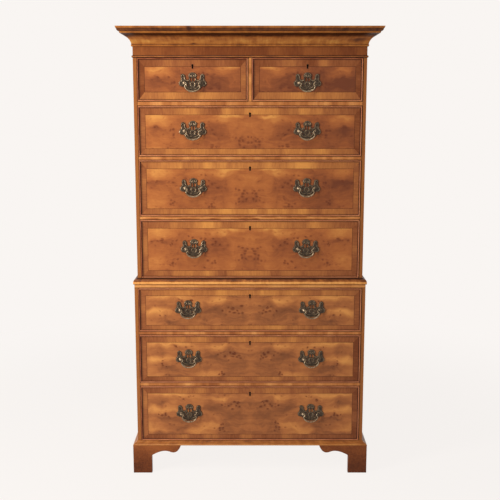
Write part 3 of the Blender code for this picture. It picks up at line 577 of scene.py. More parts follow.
def add_crossgrain(node, along, across, leaf, block, palette, contrast=1.0, lift=0.30):
    """Short lengths of veneer laid side by side: each has its own tone, and its fibres run across.
    Returns the colour and the fine relief."""
    start = node("MULTIPLY_ADD", leaf, 0.377, along)
    waver = node("TexNoise", {"W": start, "Scale": 11.0, "Detail": 2.0}, noise_dimensions="1D")["Fac"]
    wander = node("TexNoise", {"W": start, "Scale": 55.0, "Detail": 1.0}, noise_dimensions="1D")["Fac"]
    look = {"W": node("MULTIPLY_ADD", wander, 0.012, start), "Scale": 1.0 / block, "Smoothness": 1.0}
    lengths = node("TexVoronoi", look, voronoi_dimensions="1D", feature="SMOOTH_F1")["Color"]
    step = node("SeparateColor", lengths)[0]
    fibres = add_grain(node, across, along, leaf, (0.030, 0.0060), 6.0)
    tone = node("MULTIPLY_ADD", step, 0.40, node("MULTIPLY_ADD", waver, 0.90, -0.65))
    tone = node("MULTIPLY_ADD", tone, contrast, node("MULTIPLY_ADD", fibres, 0.40, lift))
    return node("ValToRGB", tone, stops=palette)[0], fibres


def add_dirt_and_shade(node, place, edges, clean):
    """Old wax and dirt, and painted shade of the gap, on a front edge where a drawer meets it, strongest in
    the corner itself.
    """
    nearest = DIRT_AND_SHADE_WIDTH
    for edge in edges:
        nearest = node("MINIMUM", node("ABSOLUTE", node("SUBTRACT", place, edge)), nearest)
    share = node("MapRange", nearest, DIRT_AND_SHADE_WIDTH, 0.0, 0.0, 0.95)[0]
    return node("Mix", {0: share, 6: clean, 7: DIRT_AND_SHADE}, data_type="RGBA")[2]


def carcase_finish(name, case, rail_foot, rail_tones, drawer):
    """Polished yew veneer outside and bare pine inside, told apart by place and by facing. Its front
    is crossgrained above the rail's foot; the named drawer gives the width of the opening."""
    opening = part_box(drawer)[1].x + DRAWER_PLAY
    material, node, shader, point = start_material(name)
    x, y, z = node("SeparateXYZ", point)
    face_x, face_y, _ = node("SeparateXYZ", node("TexCoord")["Normal"])
    outward = node("ABSOLUTE", x)
    # The sides: long upright fibres and drifting clouds
    fibres = add_grain(node, z, y, x, (0.16, 0.0035), 7.0)
    bands = add_grain(node, z, y, x, (0.55, 0.055), 9.0)
    clouds = add_grain(node, z, y, x, (0.16, 0.09), 12.0)
    tone = node("MULTIPLY_ADD", bands, 0.50, node("MULTIPLY", clouds, 0.30))
    flank = node("ValToRGB", node("MULTIPLY_ADD", fibres, 0.20, tone), stops=FLANK_TONES)[0]
    # The front edges: strips with upright grain
    strip_tone = node("MULTIPLY_ADD", add_grain(node, z, x, y, (0.09, 0.005), 15.0), 0.55, 0.22)
    strip = node("ValToRGB", strip_tone, stops=STRIP_TONES)[0]
    rail, _ = add_crossgrain(node, x, z, y, 0.070, rail_tones, 0.42)
    pine_tone = add_grain(node, x, z, y, (0.25, 0.012), 17.0)
    pine = node("ValToRGB", pine_tone, stops=((0.3, "96693e"), (0.7, "bd925f")))[0]
    on_side = node("GREATER_THAN", outward, CASE_HALF[case] - SKIN)
    on_side = node("MULTIPLY", on_side, node("GREATER_THAN", node("ABSOLUTE", face_x), 0.5))
    on_front = node("LESS_THAN", y, CASE_FRONT[case] + SKIN)
    on_front = node("MULTIPLY", on_front, node("LESS_THAN", face_y, -0.5))
    # Old dirt and painted shade along the drawer openings and under the rail's foot
    strip = add_dirt_and_shade(node, outward, (opening,), strip)
    rail = add_dirt_and_shade(node, z, (rail_foot + RAIL_DIRT_AND_SHADE_RISE,), rail)
    colour = strip
    for share, above in (
        (node("GREATER_THAN", z, rail_foot), rail),
        (node("SUBTRACT", 1.0, on_front), pine),
        (on_side, flank),
    ):
        colour = node("Mix", {0: share, 6: colour, 7: above}, data_type="RGBA")[2]
    finish_wood(node, shader, colour, fibres, 0.0001, (0.28, 0.42), 0.05)
    return material


# The lower case's top rail, under the waist's overhang, is painted paler than the other rails: painted light
# against the waist's shade
waist_rail_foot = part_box("drawer_6_front")[1].z + DRAWER_PLAY
for name, case, rail_foot, rail_tones, drawer in (
    ("yew_veneered_upper_case", "upper", FRIEZE_FOOT, FRIEZE_TONES, "drawer_3_front"),
    ("yew_veneered_lower_case", "lower", waist_rail_foot, WAIST_RAIL_LIT_TONES, "drawer_7_front"),
):
    finish = carcase_finish(name, case, rail_foot, rail_tones, drawer)
    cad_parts[f"{case}_carcase"].material_slots[0].material = finish


# The dividers
# Between the rows lies a front rail, faced with short crosswise lengths of yew, over a pine dust board
# and its runners. The muntin between the two short drawers is faced the same way, upright.

MUNTIN_HALF = 0.0078
MUNTIN_FOOT = 1.5195
FACING_BACK = -0.19
# The dirt and painted shade lie this far from a drawer's top edge, and this far from the muntin's middle
DIRT_AND_SHADE_ABOVE = 0.0019
DIRT_AND_SHADE_BESIDE = 0.0075
RAIL_TONES = ((0.18, "93562f"), (0.42, "ae6d3b"), (0.64, "c17f49"), (0.86, "d39355"))

DIVIDER_YEW, node, shader, point = start_material("yew_faced_divider")
x, y, z = node("SeparateXYZ", point)
outward = node("ABSOLUTE", x)
_, face_y, _ = node("SeparateXYZ", node("TexCoord")["Normal"])
row = node("MULTIPLY", node("ROUND", node("MULTIPLY", z, 8.0)), 1.31)
rail, relief = add_crossgrain(node, x, z, row, 0.021, RAIL_TONES)
upright, _ = add_crossgrain(node, z, x, 0.7, 0.024, RAIL_TONES)
edges = []
for number in range(2, 9):
    low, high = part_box(f"drawer_{number}_front")
    edges += [low.z - DRAWER_PLAY, high.z + DIRT_AND_SHADE_ABOVE]
# Dirt and painted shade along each drawer's edges and down the muntin's sides
rail = add_dirt_and_shade(node, z, edges, rail)
upright = add_dirt_and_shade(node, outward, (DIRT_AND_SHADE_BESIDE,), upright)
on_muntin = node("MULTIPLY", node("LESS_THAN", outward, MUNTIN_HALF), node("GREATER_THAN", z, MUNTIN_FOOT))
facing = node("Mix", {0: on_muntin, 6: rail, 7: upright}, data_type="RGBA")[2]
pine_tone = add_grain(node, x, y, z, (0.28, 0.012), 21.0)
pine = node("ValToRGB", pine_tone, stops=((0.3, "8f633b"), (0.7, "bb905e")))[0]
on_front = node("MULTIPLY", node("LESS_THAN", face_y, -0.5), node("LESS_THAN", y, FACING_BACK))
colour = node("Mix", {0: on_front, 6: pine, 7: facing}, data_type="RGBA")[2]
finish_wood(node, shader, colour, relief, 0.0001, (0.30, 0.44), 0.05)
for case, count in (("upper", 3), ("lower", 2)):
    for i in range(count):
        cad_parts[f"{case}_divider_{i + 1}"].material_slots[0].material = DIVIDER_YEW


# The backs
# Each case is closed by thin tongued pine boards, upright, let into a rebate and held by small
# countersunk screws along their edges.

BACK_BOARDS = 6
BOARD_NEAR = CASE_BACK - 0.0060
BOARD_FAR = CASE_BACK - 0.0010
SCREW_SEAT = CASE_BACK - 0.0009
SCREW_PLACES = (0.2, 0.8)
BACK_REBATE = 0.0065
BACK_JOINT = 0.0004
BACK_LEVELS = {"lower": (0.1266, 0.7882), "upper": (0.8111, 1.6947)}
SCREW_INSET = 0.006

# Screw heads or nuts set in rows: a disc with a cut slot, each turned its own way
SCREW_SIZES = {"Radius": 0.003, "Height": 0.001, "Slot": 0.0007, "Sides": 14, "Seed": 3}
SCREW_ROW, node, given = new_tree("screw_row", SCREW_SIZES)
disc = {"Vertices": given["Sides"], "Radius": given["Radius"], "Depth": given["Height"]}
head = node("GeometryNodeMeshCylinder", disc)["Mesh"]
slot_size = node("CombineXYZ", node("MULTIPLY", given["Radius"], 3.0), given["Slot"], given["Height"])[0]
slot_tool = node("GeometryNodeMeshCube", slot_size)["Mesh"]
lift = node("CombineXYZ", 0.0, 0.0, node("MULTIPLY", given["Height"], 0.75))[0]
slot_tool = node("GeometryNodeTransform", {"Geometry": slot_tool, "Translation": lift})[0]
head = node("GeometryNodeMeshBoolean", head, slot_tool, operation="DIFFERENCE", solver="EXACT")["Mesh"]
spins = node("FunctionNodeRandomValue", {"Max": math.pi, "Seed": given["Seed"]}, data_type="FLOAT")
twist = node("CombineXYZ", 0.0, 0.0, next(socket for socket in spins if socket.enabled))[0]
turn = node("CombineXYZ", -math.pi / 2)[0]
heads = {"Points": given["Geometry"], "Instance": head, "Rotation": turn}
heads = node("GeometryNodeInstanceOnPoints", heads)[0]
heads = {"Instances": heads, "Rotation": twist, "Local Space": True}
close_tree(node, node("GeometryNodeRotateInstances", heads)[0], given)


def screw_row(name, spots, material, body, slot_name, **sizes):
    """A row of heads at these spots, facing backwards."""
    points = bpy.data.meshes.new("head_spots")
    points.from_pydata(spots, [], [])
    row = grow(name, points, SCREW_ROW, material, **sizes)
    row.data.set_sharp_from_angle(angle=math.radians(30.0))
    fit(row, body)


def start_flecked(name, scale, detail, stops):
    """A new material with small flecks all over; returns also its node adder, shader, flecks and colour."""
    material, node, shader, point = start_material(name)
    flecks = node("TexNoise", {"Vector": point, "Scale": scale, "Detail": detail})["Fac"]
    return material, node, shader, flecks, node("ValToRGB", flecks, stops=stops)[0]


# Old iron of the back screws: dark and dull, with a little rust
IRON_TONES = ((0.35, "4b4541"), (0.62, "6b4630"))
IRON, _, shader, _, colour = start_flecked("rusted_iron_screw", 420.0, 3.0, IRON_TONES)
feed(shader, {"Base Color": colour, "Metallic": 0.7, "Roughness": 0.55})

# Back boards: pine gone grey-brown with dust, its rings running upright
BACK_PINE, node, shader, point = start_material("dusty_pine_board")
x, y, z = node("SeparateXYZ", point)
rings = add_grain(node, z, x, y, (0.55, 0.014), 31.0)
fibres = add_grain(node, z, x, y, (0.06, 0.0018), 33.0)
BACK_TONES = ((0.28, "7f6040"), (0.50, "a08058"), (0.70, "b6986f"))
finish_board(node, shader, rings, fibres, 0.35, BACK_TONES, (0.6, 0.78))

for case, (low, high) in BACK_LEVELS.items():
    half = CASE_HALF[case] - BACK_REBATE
    pitch = 2 * half / BACK_BOARDS
    shape = bmesh.new()
    screws = []
    for i in range(BACK_BOARDS):
        left = -half + i * pitch
        near = (left + BACK_JOINT, BOARD_NEAR, low)
        add_box(shape, near, (left + pitch - BACK_JOINT, BOARD_FAR, high))
        for share in SCREW_PLACES:
            for level in (low + SCREW_INSET, high - SCREW_INSET):
                screws.append((left + share * pitch, SCREW_SEAT, level))
    boards = new_piece(f"back_boards_{case}", shape, BACK_PINE)
    ease_edges(boards, 0.0009)
    fit(boards, "case", f"{case}_back")
    screw_row(f"back_screws_{case}", screws, IRON, "case", "back_panel_wood")


# The drawer fronts
# Pine boards, rabbeted round the edge for a cockbead, lapped at the ends for the sides and grooved for
# the bottom. The face is veneered: a panel of burr yew, a line of dark stringing and a crossbanding.

FRONT_THICK = 0.020
VENEER_THICK = 0.0006
BEAD_WIDTH = 0.0035
BEAD_PROUD = 0.003
BEAD_DEEP = 0.0065
BEAD_PLAY = 0.0001
LAP_THICK = 0.007
LAP_TOP = 0.0027
SIDE_LAP = 0.0103
GROOVE_LEVEL = (0.0088, 0.0154)
GROOVE_DEEP = 0.006
GROOVE_STOP = 0.004
CUT_PAST = 0.002
STRING_WIDTH = 0.0013
KEY_DROP = 0.0275
KEY_RADIUS = 0.0037
KEY_SLOT = 0.0050
KEY_LENGTH = 0.0125
KEYHOLE_DEEP = 0.013
BAND_WIDTHS = {"short": (0.0285, 0.0300), "upper": (0.0285, 0.0245), "lower": (0.0255, 0.0205)}
SIDE_BAND = 0.0235
# Where each length of crossbanding starts in the veneer map, far enough apart never to meet: left, right,
# above and below
BAND_STARTS = (4.0, 2.0, 8.0, 10.0)
# Each drawer's number, kind and leaf of veneer, and how much paler or darker its crossbanding is on the
# left, on the right, above and below
DRAWERS = (
    (1, "short", 0.0, (-0.20, 0.04, -0.13, 0.11)),
    (2, "short", 0.0, (-0.10, -0.16, -0.11, 0.11)),
    (3, "upper", 1.0, (0.0, -0.17, 0.0, 0.05)),
    (4, "upper", 2.0, (-0.03, 0.05, 0.09, 0.05)),
    (5, "upper", 3.0, (0.04, -0.06, 0.02, -0.03)),
    (6, "lower", 4.0, (0.0, -0.06, 0.05, 0.0)),
    (7, "lower", 5.0, (0.0, -0.18, -0.03, -0.12)),
    (8, "lower", 6.0, (0.05, -0.13, -0.10, -0.15)),
)


def burr_veneer(name, tones, clouds, clusters, flame_share, pip_share):
    """Burr yew, book-matched about the chest's middle: amber sapwood, brown clouds and clusters of dark
    pips. The leaves of one stack repeat from drawer to drawer, and drift a little."""
    material, node, shader, _ = start_material(name)
    u, v, _ = node("SeparateXYZ", node("UVMap", uv_map="veneer")[0])
    leaf = node("Attribute", attribute_name="leaf")["Fac"]
    across = node("ABSOLUTE", u)
    drift = node("MULTIPLY", leaf, 0.012)
    point = node("CombineXYZ", across, v, drift)[0]
    # A fine ripple answers itself in both halves of a match, and a broad one does not
    bent = point
    for source, scale, detail, amount in (
        (point, 17.0, 2.5, (0.05, 0.035, 0.0)),
        (node("CombineXYZ", u, v, leaf)[0], 14.0, 1.5, (0.045, 0.040, 0.0)),
    ):
        ripple = node("TexNoise", {"Vector": source, "Scale": scale, "Detail": detail})["Color"]
        ripple = node("VectorMath", ripple, (0.5, 0.5, 0.5), operation="SUBTRACT")[0]
        bent = node("VectorMath", ripple, amount, bent, operation="MULTIPLY_ADD")[0]
    look = {"Vector": bent, "Scale": 16.0, "Detail": 5.0, "Roughness": 0.62}
    soft = node("TexNoise", look)["Fac"]
    drawn = node("VectorMath", bent, (5.0, 42.0, 5.0), operation="MULTIPLY")[0]
    flames = node("TexNoise", {"Vector": drawn, "Scale": 1.0, "Detail": 2.0})["Fac"]
    curly = node("VectorMath", bent, (30.0, 125.0, 30.0), operation="MULTIPLY")[0]
    wisps = node("TexNoise", {"Vector": curly, "Scale": 1.0, "Detail": 3.0, "Distortion": 0.6})["Fac"]
    tone = node("MULTIPLY_ADD", soft, 0.70, 0.05 - 0.5 * flame_share)
    tone = node("MULTIPLY_ADD", flames, flame_share, tone)
    tone = node("MULTIPLY_ADD", wisps, 0.20, tone)
    # The top row is darkest, and the upper drawers darken towards the right: painted shade, for light that
    # falls off across them
    tone = node("MULTIPLY_ADD", node("LESS_THAN", leaf, 0.5), -0.15, tone)
    shaded_to_right = node("MULTIPLY", node("MapRange", u, 0.14, 0.34)[0], node("LESS_THAN", leaf, 2.5))
    tone = node("MULTIPLY_ADD", shaded_to_right, -0.22, tone)
    for blot in clouds:
        tone = node("ADD", tone, add_blot(node, bent, *blot))
    gathered = 0.0
    for blot in clusters:
        gathered = node("ADD", gathered, add_blot(node, bent, *blot))
    # Pips are roundish, 3 to 8 mm across, in cells of 15 by 12 mm, each in a soft dark ring
    stirred = node("Mix", {0: 0.45, 4: point, 5: bent}, data_type="VECTOR")[1]
    shift = node("VectorMath", {0: (0.71, 0.37, 0.0), "Scale": leaf}, operation="SCALE")[0]
    stretched = node("VectorMath", stirred, (66.0, 84.0, 30.0), shift, operation="MULTIPLY_ADD")[0]
    cells = node("TexVoronoi", {"Vector": stretched, "Scale": 1.0}, voronoi_dimensions="2D")
    lot = node("SeparateColor", cells["Color"])[0]
    inside = node("SUBTRACT", node("MULTIPLY_ADD", lot, 0.24, 0.20), cells["Distance"])
    chosen = node("MapRange", node("SUBTRACT", gathered, lot), -0.12, 0.10)[0]
    pip = node("MULTIPLY", node("MapRange", inside, -0.10, 0.10)[0], chosen)
    ring = node("MULTIPLY", node("MapRange", inside, -0.36, 0.0)[0], chosen)
    tone = node("MULTIPLY_ADD", ring, -0.15, tone)
    # Fibres are finer than the render shows, and are drawn 3 mm wide
    fibres = add_grain(node, across, v, drift, (0.05, 0.003), 5.0)
    tone = node("MULTIPLY_ADD", fibres, 0.16, node("SUBTRACT", tone, 0.08))
    colour = node("ValToRGB", tone, stops=tones)[0]
    share = node("MULTIPLY", pip, pip_share)
    colour = node("Mix", {0: share, 6: colour, 7: linear("622a13")}, data_type="RGBA")[2]
    finish_wood(node, shader, colour, fibres, 0.00008, (0.24, 0.36), 0.08)
    return material


# The upper stack: an amber strip near the outer top corners and a brown cloud inside each handle
UPPER_BURR = burr_veneer(
    "burr_yew_upper_stack",
    ((0.10, "6c3a24"), (0.34, "8c4f2d"), (0.54, "a66235"), (0.74, "ba773f"), (0.94, "cd8d4a")),
    (
        ((0.370, 0.012), (0.090, 0.036), -4, 0.46), ((0.075, 0.002), (0.075, 0.012), 0, 0.44),
        ((0.120, 0.016), (0.110, 0.028), 6, 0.18), ((0.135, 0.075), (0.070, 0.060), -30, -0.24),
        ((0.020, 0.120), (0.050, 0.080), 10, -0.14), ((0.360, 0.060), (0.080, 0.028), 0, -0.18),
        ((0.370, 0.150), (0.090, 0.050), 0, 0.12), ((0.225, 0.130), (0.060, 0.050), 0, -0.10),
    ),
    (
        ((0.365, 0.048), (0.055, 0.024), -8, 0.85), ((0.298, 0.062), (0.024, 0.022), 0, 0.95),
        ((0.305, 0.140), (0.035, 0.026), 0, 0.85), ((0.145, 0.140), (0.050, 0.040), 0, 0.75),
        ((0.215, 0.060), (0.060, 0.060), 0, 0.55), ((0.030, 0.105), (0.050, 0.045), 0, 0.65),
        ((0.140, 0.060), (0.030, 0.030), 0, 0.60),
    ),
    flame_share=0.30,
    pip_share=0.45,
)

# The lower stack: level amber flames towards the ends, brown clouds about the middle
LOWER_BURR = burr_veneer(
    "burr_yew_lower_stack",
    ((0.10, "5f3725"), (0.34, "85502f"), (0.54, "a36439"), (0.74, "bb7a43"), (0.94, "d0904e")),
    (
        ((0.380, 0.070), (0.110, 0.022), 4, 0.34), ((0.390, 0.150), (0.100, 0.026), -3, 0.30),
        ((0.190, 0.150), (0.090, 0.030), 14, 0.34), ((0.330, 0.010), (0.150, 0.020), 0, 0.40),
        ((0.130, 0.012), (0.080, 0.016), 0, 0.34), ((0.155, 0.060), (0.080, 0.030), -12, -0.22),
        ((0.040, 0.115), (0.060, 0.060), 0, -0.12), ((0.340, 0.110), (0.070, 0.018), -10, -0.24),
        ((0.300, 0.160), (0.060, 0.024), 10, -0.20), ((0.110, 0.150), (0.050, 0.050), 25, -0.12),
        ((0.045, 0.085), (0.040, 0.045), 0, -0.13),
    ),
    (
        ((0.290, 0.022), (0.036, 0.014), 0, 1.10), ((0.352, 0.092), (0.034, 0.018), -20, 0.90),
        ((0.055, 0.050), (0.030, 0.045), 0, 0.80), ((0.115, 0.140), (0.035, 0.035), 0, 0.85),
        ((0.100, 0.050), (0.040, 0.020), 0, 0.60), ((0.240, 0.010), (0.020, 0.008), 0, 0.90),
    ),
    flame_share=0.55,
    pip_share=0.75,
)

# Crossbanding of straight-grained yew, cut in short lengths with the fibres across the band. The lengths
# match at the mitres and down the sides. Along the cockbead, old wax and dirt and painted shade darken
# them; the painted shade is widest on the left band, as the bead's shadow, and weakest above and below
CROSSBAND, node, shader, _ = start_material("yew_crossbanding")
along, across, _ = node("SeparateXYZ", node("UVMap", uv_map="veneer")[0])
leaf = node("Attribute", attribute_name="leaf")["Fac"]
from_left, from_right, _ = node("SeparateXYZ", node("UVMap", uv_map="ends")[0])
inboard = node("MapRange", node("MINIMUM", from_left, from_right), 0.02, 0.18, 0.12, 0.62)[0]
own_tone = node("Attribute", attribute_name="band_tone")["Fac"]
lift = node("ADD", node("MULTIPLY_ADD", inboard, 0.46, 0.07), own_tone)
BAND_TONES = ((0.14, "703a1c"), (0.36, "8f5430"), (0.60, "b1713c"), (0.86, "cf8d48"))
colour, relief = add_crossgrain(node, along, across, leaf, 0.044, BAND_TONES, inboard, lift)
# Painted shade: the dark edge is twice as wide on the left band, as the bead's shadow, and a quarter lighter
# on the top and bottom bands
on_left = node("COMPARE", along, BAND_STARTS[0] + 0.9, 1.0)
edge_dirt_and_shade = node("MapRange", across, node("MULTIPLY_ADD", on_left, 0.0067, 0.0068), 0.0022)[0]
edge_dirt_and_shade = node("MULTIPLY", node("POWER", edge_dirt_and_shade, 2.0), 0.92)
on_level = node("GREATER_THAN", along, BAND_STARTS[2] - 1.0)
edge_dirt_and_shade = node("MULTIPLY", edge_dirt_and_shade, node("MULTIPLY_ADD", on_level, -0.25, 1.0))
colour = node("Mix", {0: edge_dirt_and_shade, 6: colour, 7: linear("2c0f07")}, data_type="RGBA")[2]
finish_wood(node, shader, colour, relief, 0.0001, (0.26, 0.38), 0.08)

# Stringing of dyed walnut: an almost black-brown line with hardly any figure
STRING_TONES = ((0.3, "2c1107"), (0.7, "431c0d"))
STRINGING, node, shader, flecks, colour = start_flecked("dyed_walnut_stringing", 260.0, 2.0, STRING_TONES)
finish_wood(node, shader, colour, flecks, 0.00005, (0.28, 0.38), 0.08)

# Cockbead of cherry: pinkish brown with thin streaks, rubbed pale on its nose, and dark at its foot with wax
# and painted shade
COCKBEAD, node, shader, point = start_material("cherry_cockbead")
x, y, z = node("SeparateXYZ", point)
streaks = add_grain(node, x, z, y, (0.05, 0.05), 25.0)
rubbed = node("Attribute", attribute_name="rubbed")["Fac"]
worn_and_shaded = node("MULTIPLY", node("MapRange", rubbed, 0.25, 0.65, -0.30)[0], 0.30)
BEAD_TONES = ((0.08, "2e0f07"), (0.28, "7c3c24"), (0.50, "b26a47"), (0.68, "cc865c"))
tone = node("MULTIPLY_ADD", streaks, 0.6, worn_and_shaded)
finish_wood(node, shader, tone, streaks, 0.00005, (0.26, 0.36), 0.1, BEAD_TONES)


def store_values(mesh, name, domain, values):
    mesh.attributes.new(name, "FLOAT", domain).data.foreach_set("value", values)


def keyhole_outline(grow_by=0.0, steps=20):
    """A round head over a straight slot, about the centre of the head."""
    radius = KEY_RADIUS + grow_by
    half = KEY_SLOT / 2 + grow_by
    lean = math.degrees(math.asin(half / radius))
    head = ellipse_arc((0, 0), (radius, radius), -90 + lean, 270 - lean, steps)
    return [(half, -KEY_LENGTH - grow_by), *head, (-half, -KEY_LENGTH - grow_by)]


def keyhole_rings(middle, level, steps):
    """Keyhole outlines in space, each grown by its own amount and set at its own depth."""
    return [[(middle + u, y, level + v) for u, v in keyhole_outline(grow_by)] for grow_by, y in steps]


def cut_from(piece, cutters):
    """Cuts the closed shapes of a bmesh out of a piece."""
    tool = new_piece("cutters", cutters)
    modifier = piece.modifiers.new("cut", "BOOLEAN")
    modifier.operation = "DIFFERENCE"
    modifier.solver = "EXACT"
    modifier.use_self = True
    modifier.object = tool
    graph = bpy.context.evaluated_depsgraph_get()
    mesh = bpy.data.meshes.new_from_object(piece.evaluated_get(graph))
    piece.modifiers.clear()
    piece.data = mesh
    bpy.data.objects.remove(tool)


def front_rings(edges, steps):
    """Rectangles parallel to a drawer's edges, each inset and set back as given."""
    x0, x1, z0, z1 = edges
    rings = []
    for i, y in steps:
        rings.append([(x0 + i, y, z0 + i), (x1 - i, y, z0 + i), (x1 - i, y, z1 - i), (x0 + i, y, z1 - i)])
    return rings


fronts = {}
for number, kind, leaf, band_tones in DRAWERS:
    body, solid = f"drawer_{number}", f"drawer_{number}_front"
    low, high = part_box(solid)
    edges = (low.x, high.x, low.z, high.z)
    face = low.y + BEAD_PROUD
    middle = (low.x + high.x) / 2
    key_level = high.z - KEY_DROP
    fronts[number] = (edges, face, middle, key_level)

    # The board, with its rabbet, laps, groove and keyhole
    shape = bmesh.new()
    inset, seat = BEAD_WIDTH - BEAD_PLAY, VENEER_THICK + BEAD_PLAY
    steps = ((0, FRONT_THICK), (0, BEAD_DEEP), (inset, BEAD_DEEP), (inset, seat))
    add_loft(shape, front_rings(edges, [(inset, face + y) for inset, y in steps]))
    board = new_piece(f"drawer_{number}_board", shape, PINE)
    cutters = bmesh.new()
    rear = face + FRONT_THICK
    groove_low, groove_high = (low.z + level for level in GROOVE_LEVEL)
    near = (low.x + GROOVE_STOP, rear - GROOVE_DEEP, groove_low)
    add_box(cutters, near, (high.x - GROOVE_STOP, rear + CUT_PAST, groove_high))
    for side, edge in ((-1, low.x), (1, high.x)):
        x0, x1 = sorted((edge + side * CUT_PAST, edge - side * SIDE_LAP))
        near = (x0, face + LAP_THICK, low.z - CUT_PAST)
        add_box(cutters, near, (x1, rear + CUT_PAST, high.z - LAP_TOP))
    add_loft(cutters, keyhole_rings(middle, key_level, ((0, face - CUT_PAST), (0, face + KEYHOLE_DEEP))))
    cut_from(board, cutters)
    fit(board, body, solid)

    # The veneered face: panel, stringing and four mitred lengths of crossbanding
    top_band, bottom_band = BAND_WIDTHS[kind]
    x0, x1, z0, z1 = low.x + BEAD_WIDTH, high.x - BEAD_WIDTH, low.z + BEAD_WIDTH, high.z - BEAD_WIDTH
    panel_top = z1 - top_band - STRING_WIDTH
    shape = bmesh.new()
    corners = [[shape.verts.new(point) for point in front_rings((x0, x1, z0, z1), ((0, face),))[0]]]
    band_edges = (x0 + SIDE_BAND, x1 - SIDE_BAND, z0 + bottom_band, z1 - top_band)
    for ring in front_rings(band_edges, ((0, face), (STRING_WIDTH, face))):
        corners.append([shape.verts.new(point) for point in ring])
    for material_index, (outer, inner) in ((2, corners[:2]), (1, corners[1:])):
        for i in range(4):
            quad = shape.faces.new((outer[i - 1], outer[i], inner[i], inner[i - 1]))
            quad.material_index = material_index
    shape.faces.new(corners[2])
    walls = bmesh.ops.extrude_face_region(shape, geom=shape.faces[:])
    backs = [part for part in walls["geom"] if isinstance(part, bmesh.types.BMVert)]
    bmesh.ops.translate(shape, vec=(0, VENEER_THICK, 0), verts=backs)
    burr = LOWER_BURR if kind == "lower" else UPPER_BURR
    veneer = new_piece(f"drawer_{number}_veneer", shape, burr, STRINGING, CROSSBAND)
    cutters = bmesh.new()
    add_loft(cutters, keyhole_rings(middle, key_level, ((0, face - CUT_PAST), (0, face + CUT_PAST))))
    cut_from(veneer, cutters)
    mesh = veneer.data
    sheet_map = mesh.uv_layers.new(name="veneer")
    ends_map = mesh.uv_layers.new(name="ends")
    tones = []
    for polygon in mesh.polygons:
        centre = polygon.center
        upright = min(centre.x - x0, x1 - centre.x) < min(centre.z - z0, z1 - centre.z)
        strip = int(centre.x > middle) if upright else 2 + int(centre.z < (z0 + z1) / 2)
        for loop in polygon.loop_indices:
            point = mesh.vertices[mesh.loops[loop].vertex_index].co
            in_width, in_height = (point.x - x0, x1 - point.x), (point.z - z0, z1 - point.z)
            spot = (point.x, panel_top - point.z)
            if polygon.material_index == 2:
                along, ways = (point.z, in_width) if upright else (point.x, in_height)
                spot = (along + BAND_STARTS[strip], min(ways))
            sheet_map.data[loop].uv = spot
            ends_map.data[loop].uv = in_height if upright else in_width
            tones.append(band_tones[strip])
    store_values(mesh, "leaf", "POINT", [leaf] * len(mesh.vertices))
    store_values(mesh, "band_tone", "CORNER", tones)
    fit(veneer, body, solid)

    # The cockbead: four strips with a rounded nose, mitred and let into the rabbet. The strip on the left,
    # and on a short drawer the top strip under the astragal, are painted darker: painted shade
    radius = BEAD_WIDTH / 2
    foot = BEAD_DEEP - BEAD_PLAY
    nose = ellipse_arc((radius, radius - BEAD_PROUD), (radius, radius), 180, 360, 10)
    shape = bmesh.new()
    profile = [(0, foot), *nose, (BEAD_WIDTH, foot)]
    add_loft(shape, front_rings(edges, [(inset, face + y) for inset, y in profile]), closed=True)
    cockbead = new_piece(f"drawer_{number}_cockbead", shape, COCKBEAD)
    mesh = cockbead.data
    smooth(mesh, 35.0)
    rubbed = []
    for polygon in mesh.polygons:
        under_astragal = kind == "short" and polygon.center.z > edges[3] - BEAD_WIDTH
        share = 0.45 if under_astragal or polygon.center.x < edges[0] + BEAD_WIDTH else 1.0
        for corner in polygon.vertices:
            rubbed.append(share * (face - mesh.vertices[corner].co.y) / BEAD_PROUD)
    store_values(mesh, "rubbed", "CORNER", rubbed)
    fit(cockbead, body, solid)


# The locks and escutcheons
# A thin brass thread edges each keyhole, over the pipe of the lock, painted near black as shade in the hole.
# Behind it a brass box lock is let into the board and held by four screws; its selvedge lies in the top edge,
# with the bolt flush in it.

THREAD_WALL = 0.0006
THREAD_PROUD = 0.0002
THREAD_DEEP = 0.0020
PIPE_END = 0.0092
PIPE_PLAY = 0.0002
PIPE_FLOOR = 0.001
LOCK_HALF_WIDTH = 0.030
LOCK_DROP = 0.048
LOCK_THICK = 0.0105
LOCK_INSET = 0.004
SELVEDGE_THICK = 0.0016
# The box, plate, selvedge and bolt: half width, depths from the board's back and heights from its top
LOCK_PARTS = (
    (LOCK_HALF_WIDTH - LOCK_INSET, (LOCK_INSET - LOCK_THICK, 0.0005), (LOCK_INSET - LOCK_DROP, -0.001)),
    (LOCK_HALF_WIDTH, (-0.0002, 0.0008), (-LOCK_DROP, -0.0002)),
    (LOCK_HALF_WIDTH, (-LOCK_THICK, 0.0008), (-SELVEDGE_THICK, 0.0002)),
    (0.010, (-0.008, -0.003), (-0.004, 0.0005)),
)
LOCK_SCREWS = [(side * 0.025, 0.0010, -drop) for side in (-1, 1) for drop in (0.008, 0.042)]

# Antique brass, cast, chased and lacquered over its tarnish: olive-brown in the hollows and pale where
# fingers have rubbed it bright
BRASS, node, shader, point = start_material("tarnished_cast_brass")
patches = node("TexNoise", {"Vector": point, "Scale": 130.0, "Detail": 4.0})["Fac"]
grit = node("TexNoise", {"Vector": point, "Scale": 620.0, "Detail": 2.0})["Fac"]
wear_and_light = node("Attribute", attribute_name="rubbed")["Fac"]
tone = node("MULTIPLY_ADD", patches, 0.6, node("MULTIPLY_ADD", wear_and_light, 0.55, -0.05))
BRASS_TONES = ((0.10, "16100a"), (0.34, "3a2d20"), (0.60, "76624b"), (0.90, "c2ae92"))
colour = node("ValToRGB", tone, stops=BRASS_TONES)[0]
gloss = node("MapRange", tone, 0.0, 1.0, 0.50, 0.20)[0]
bare = node("MapRange", tone, 0.35, 0.75, 0.55, 1.0)[0]
bump = node("Bump", {"Height": grit, "Distance": 0.0001, "Strength": 0.6})[0]
feed(shader, {"Base Color": colour, "Metallic": bare, "Roughness": gloss, "Normal": bump})

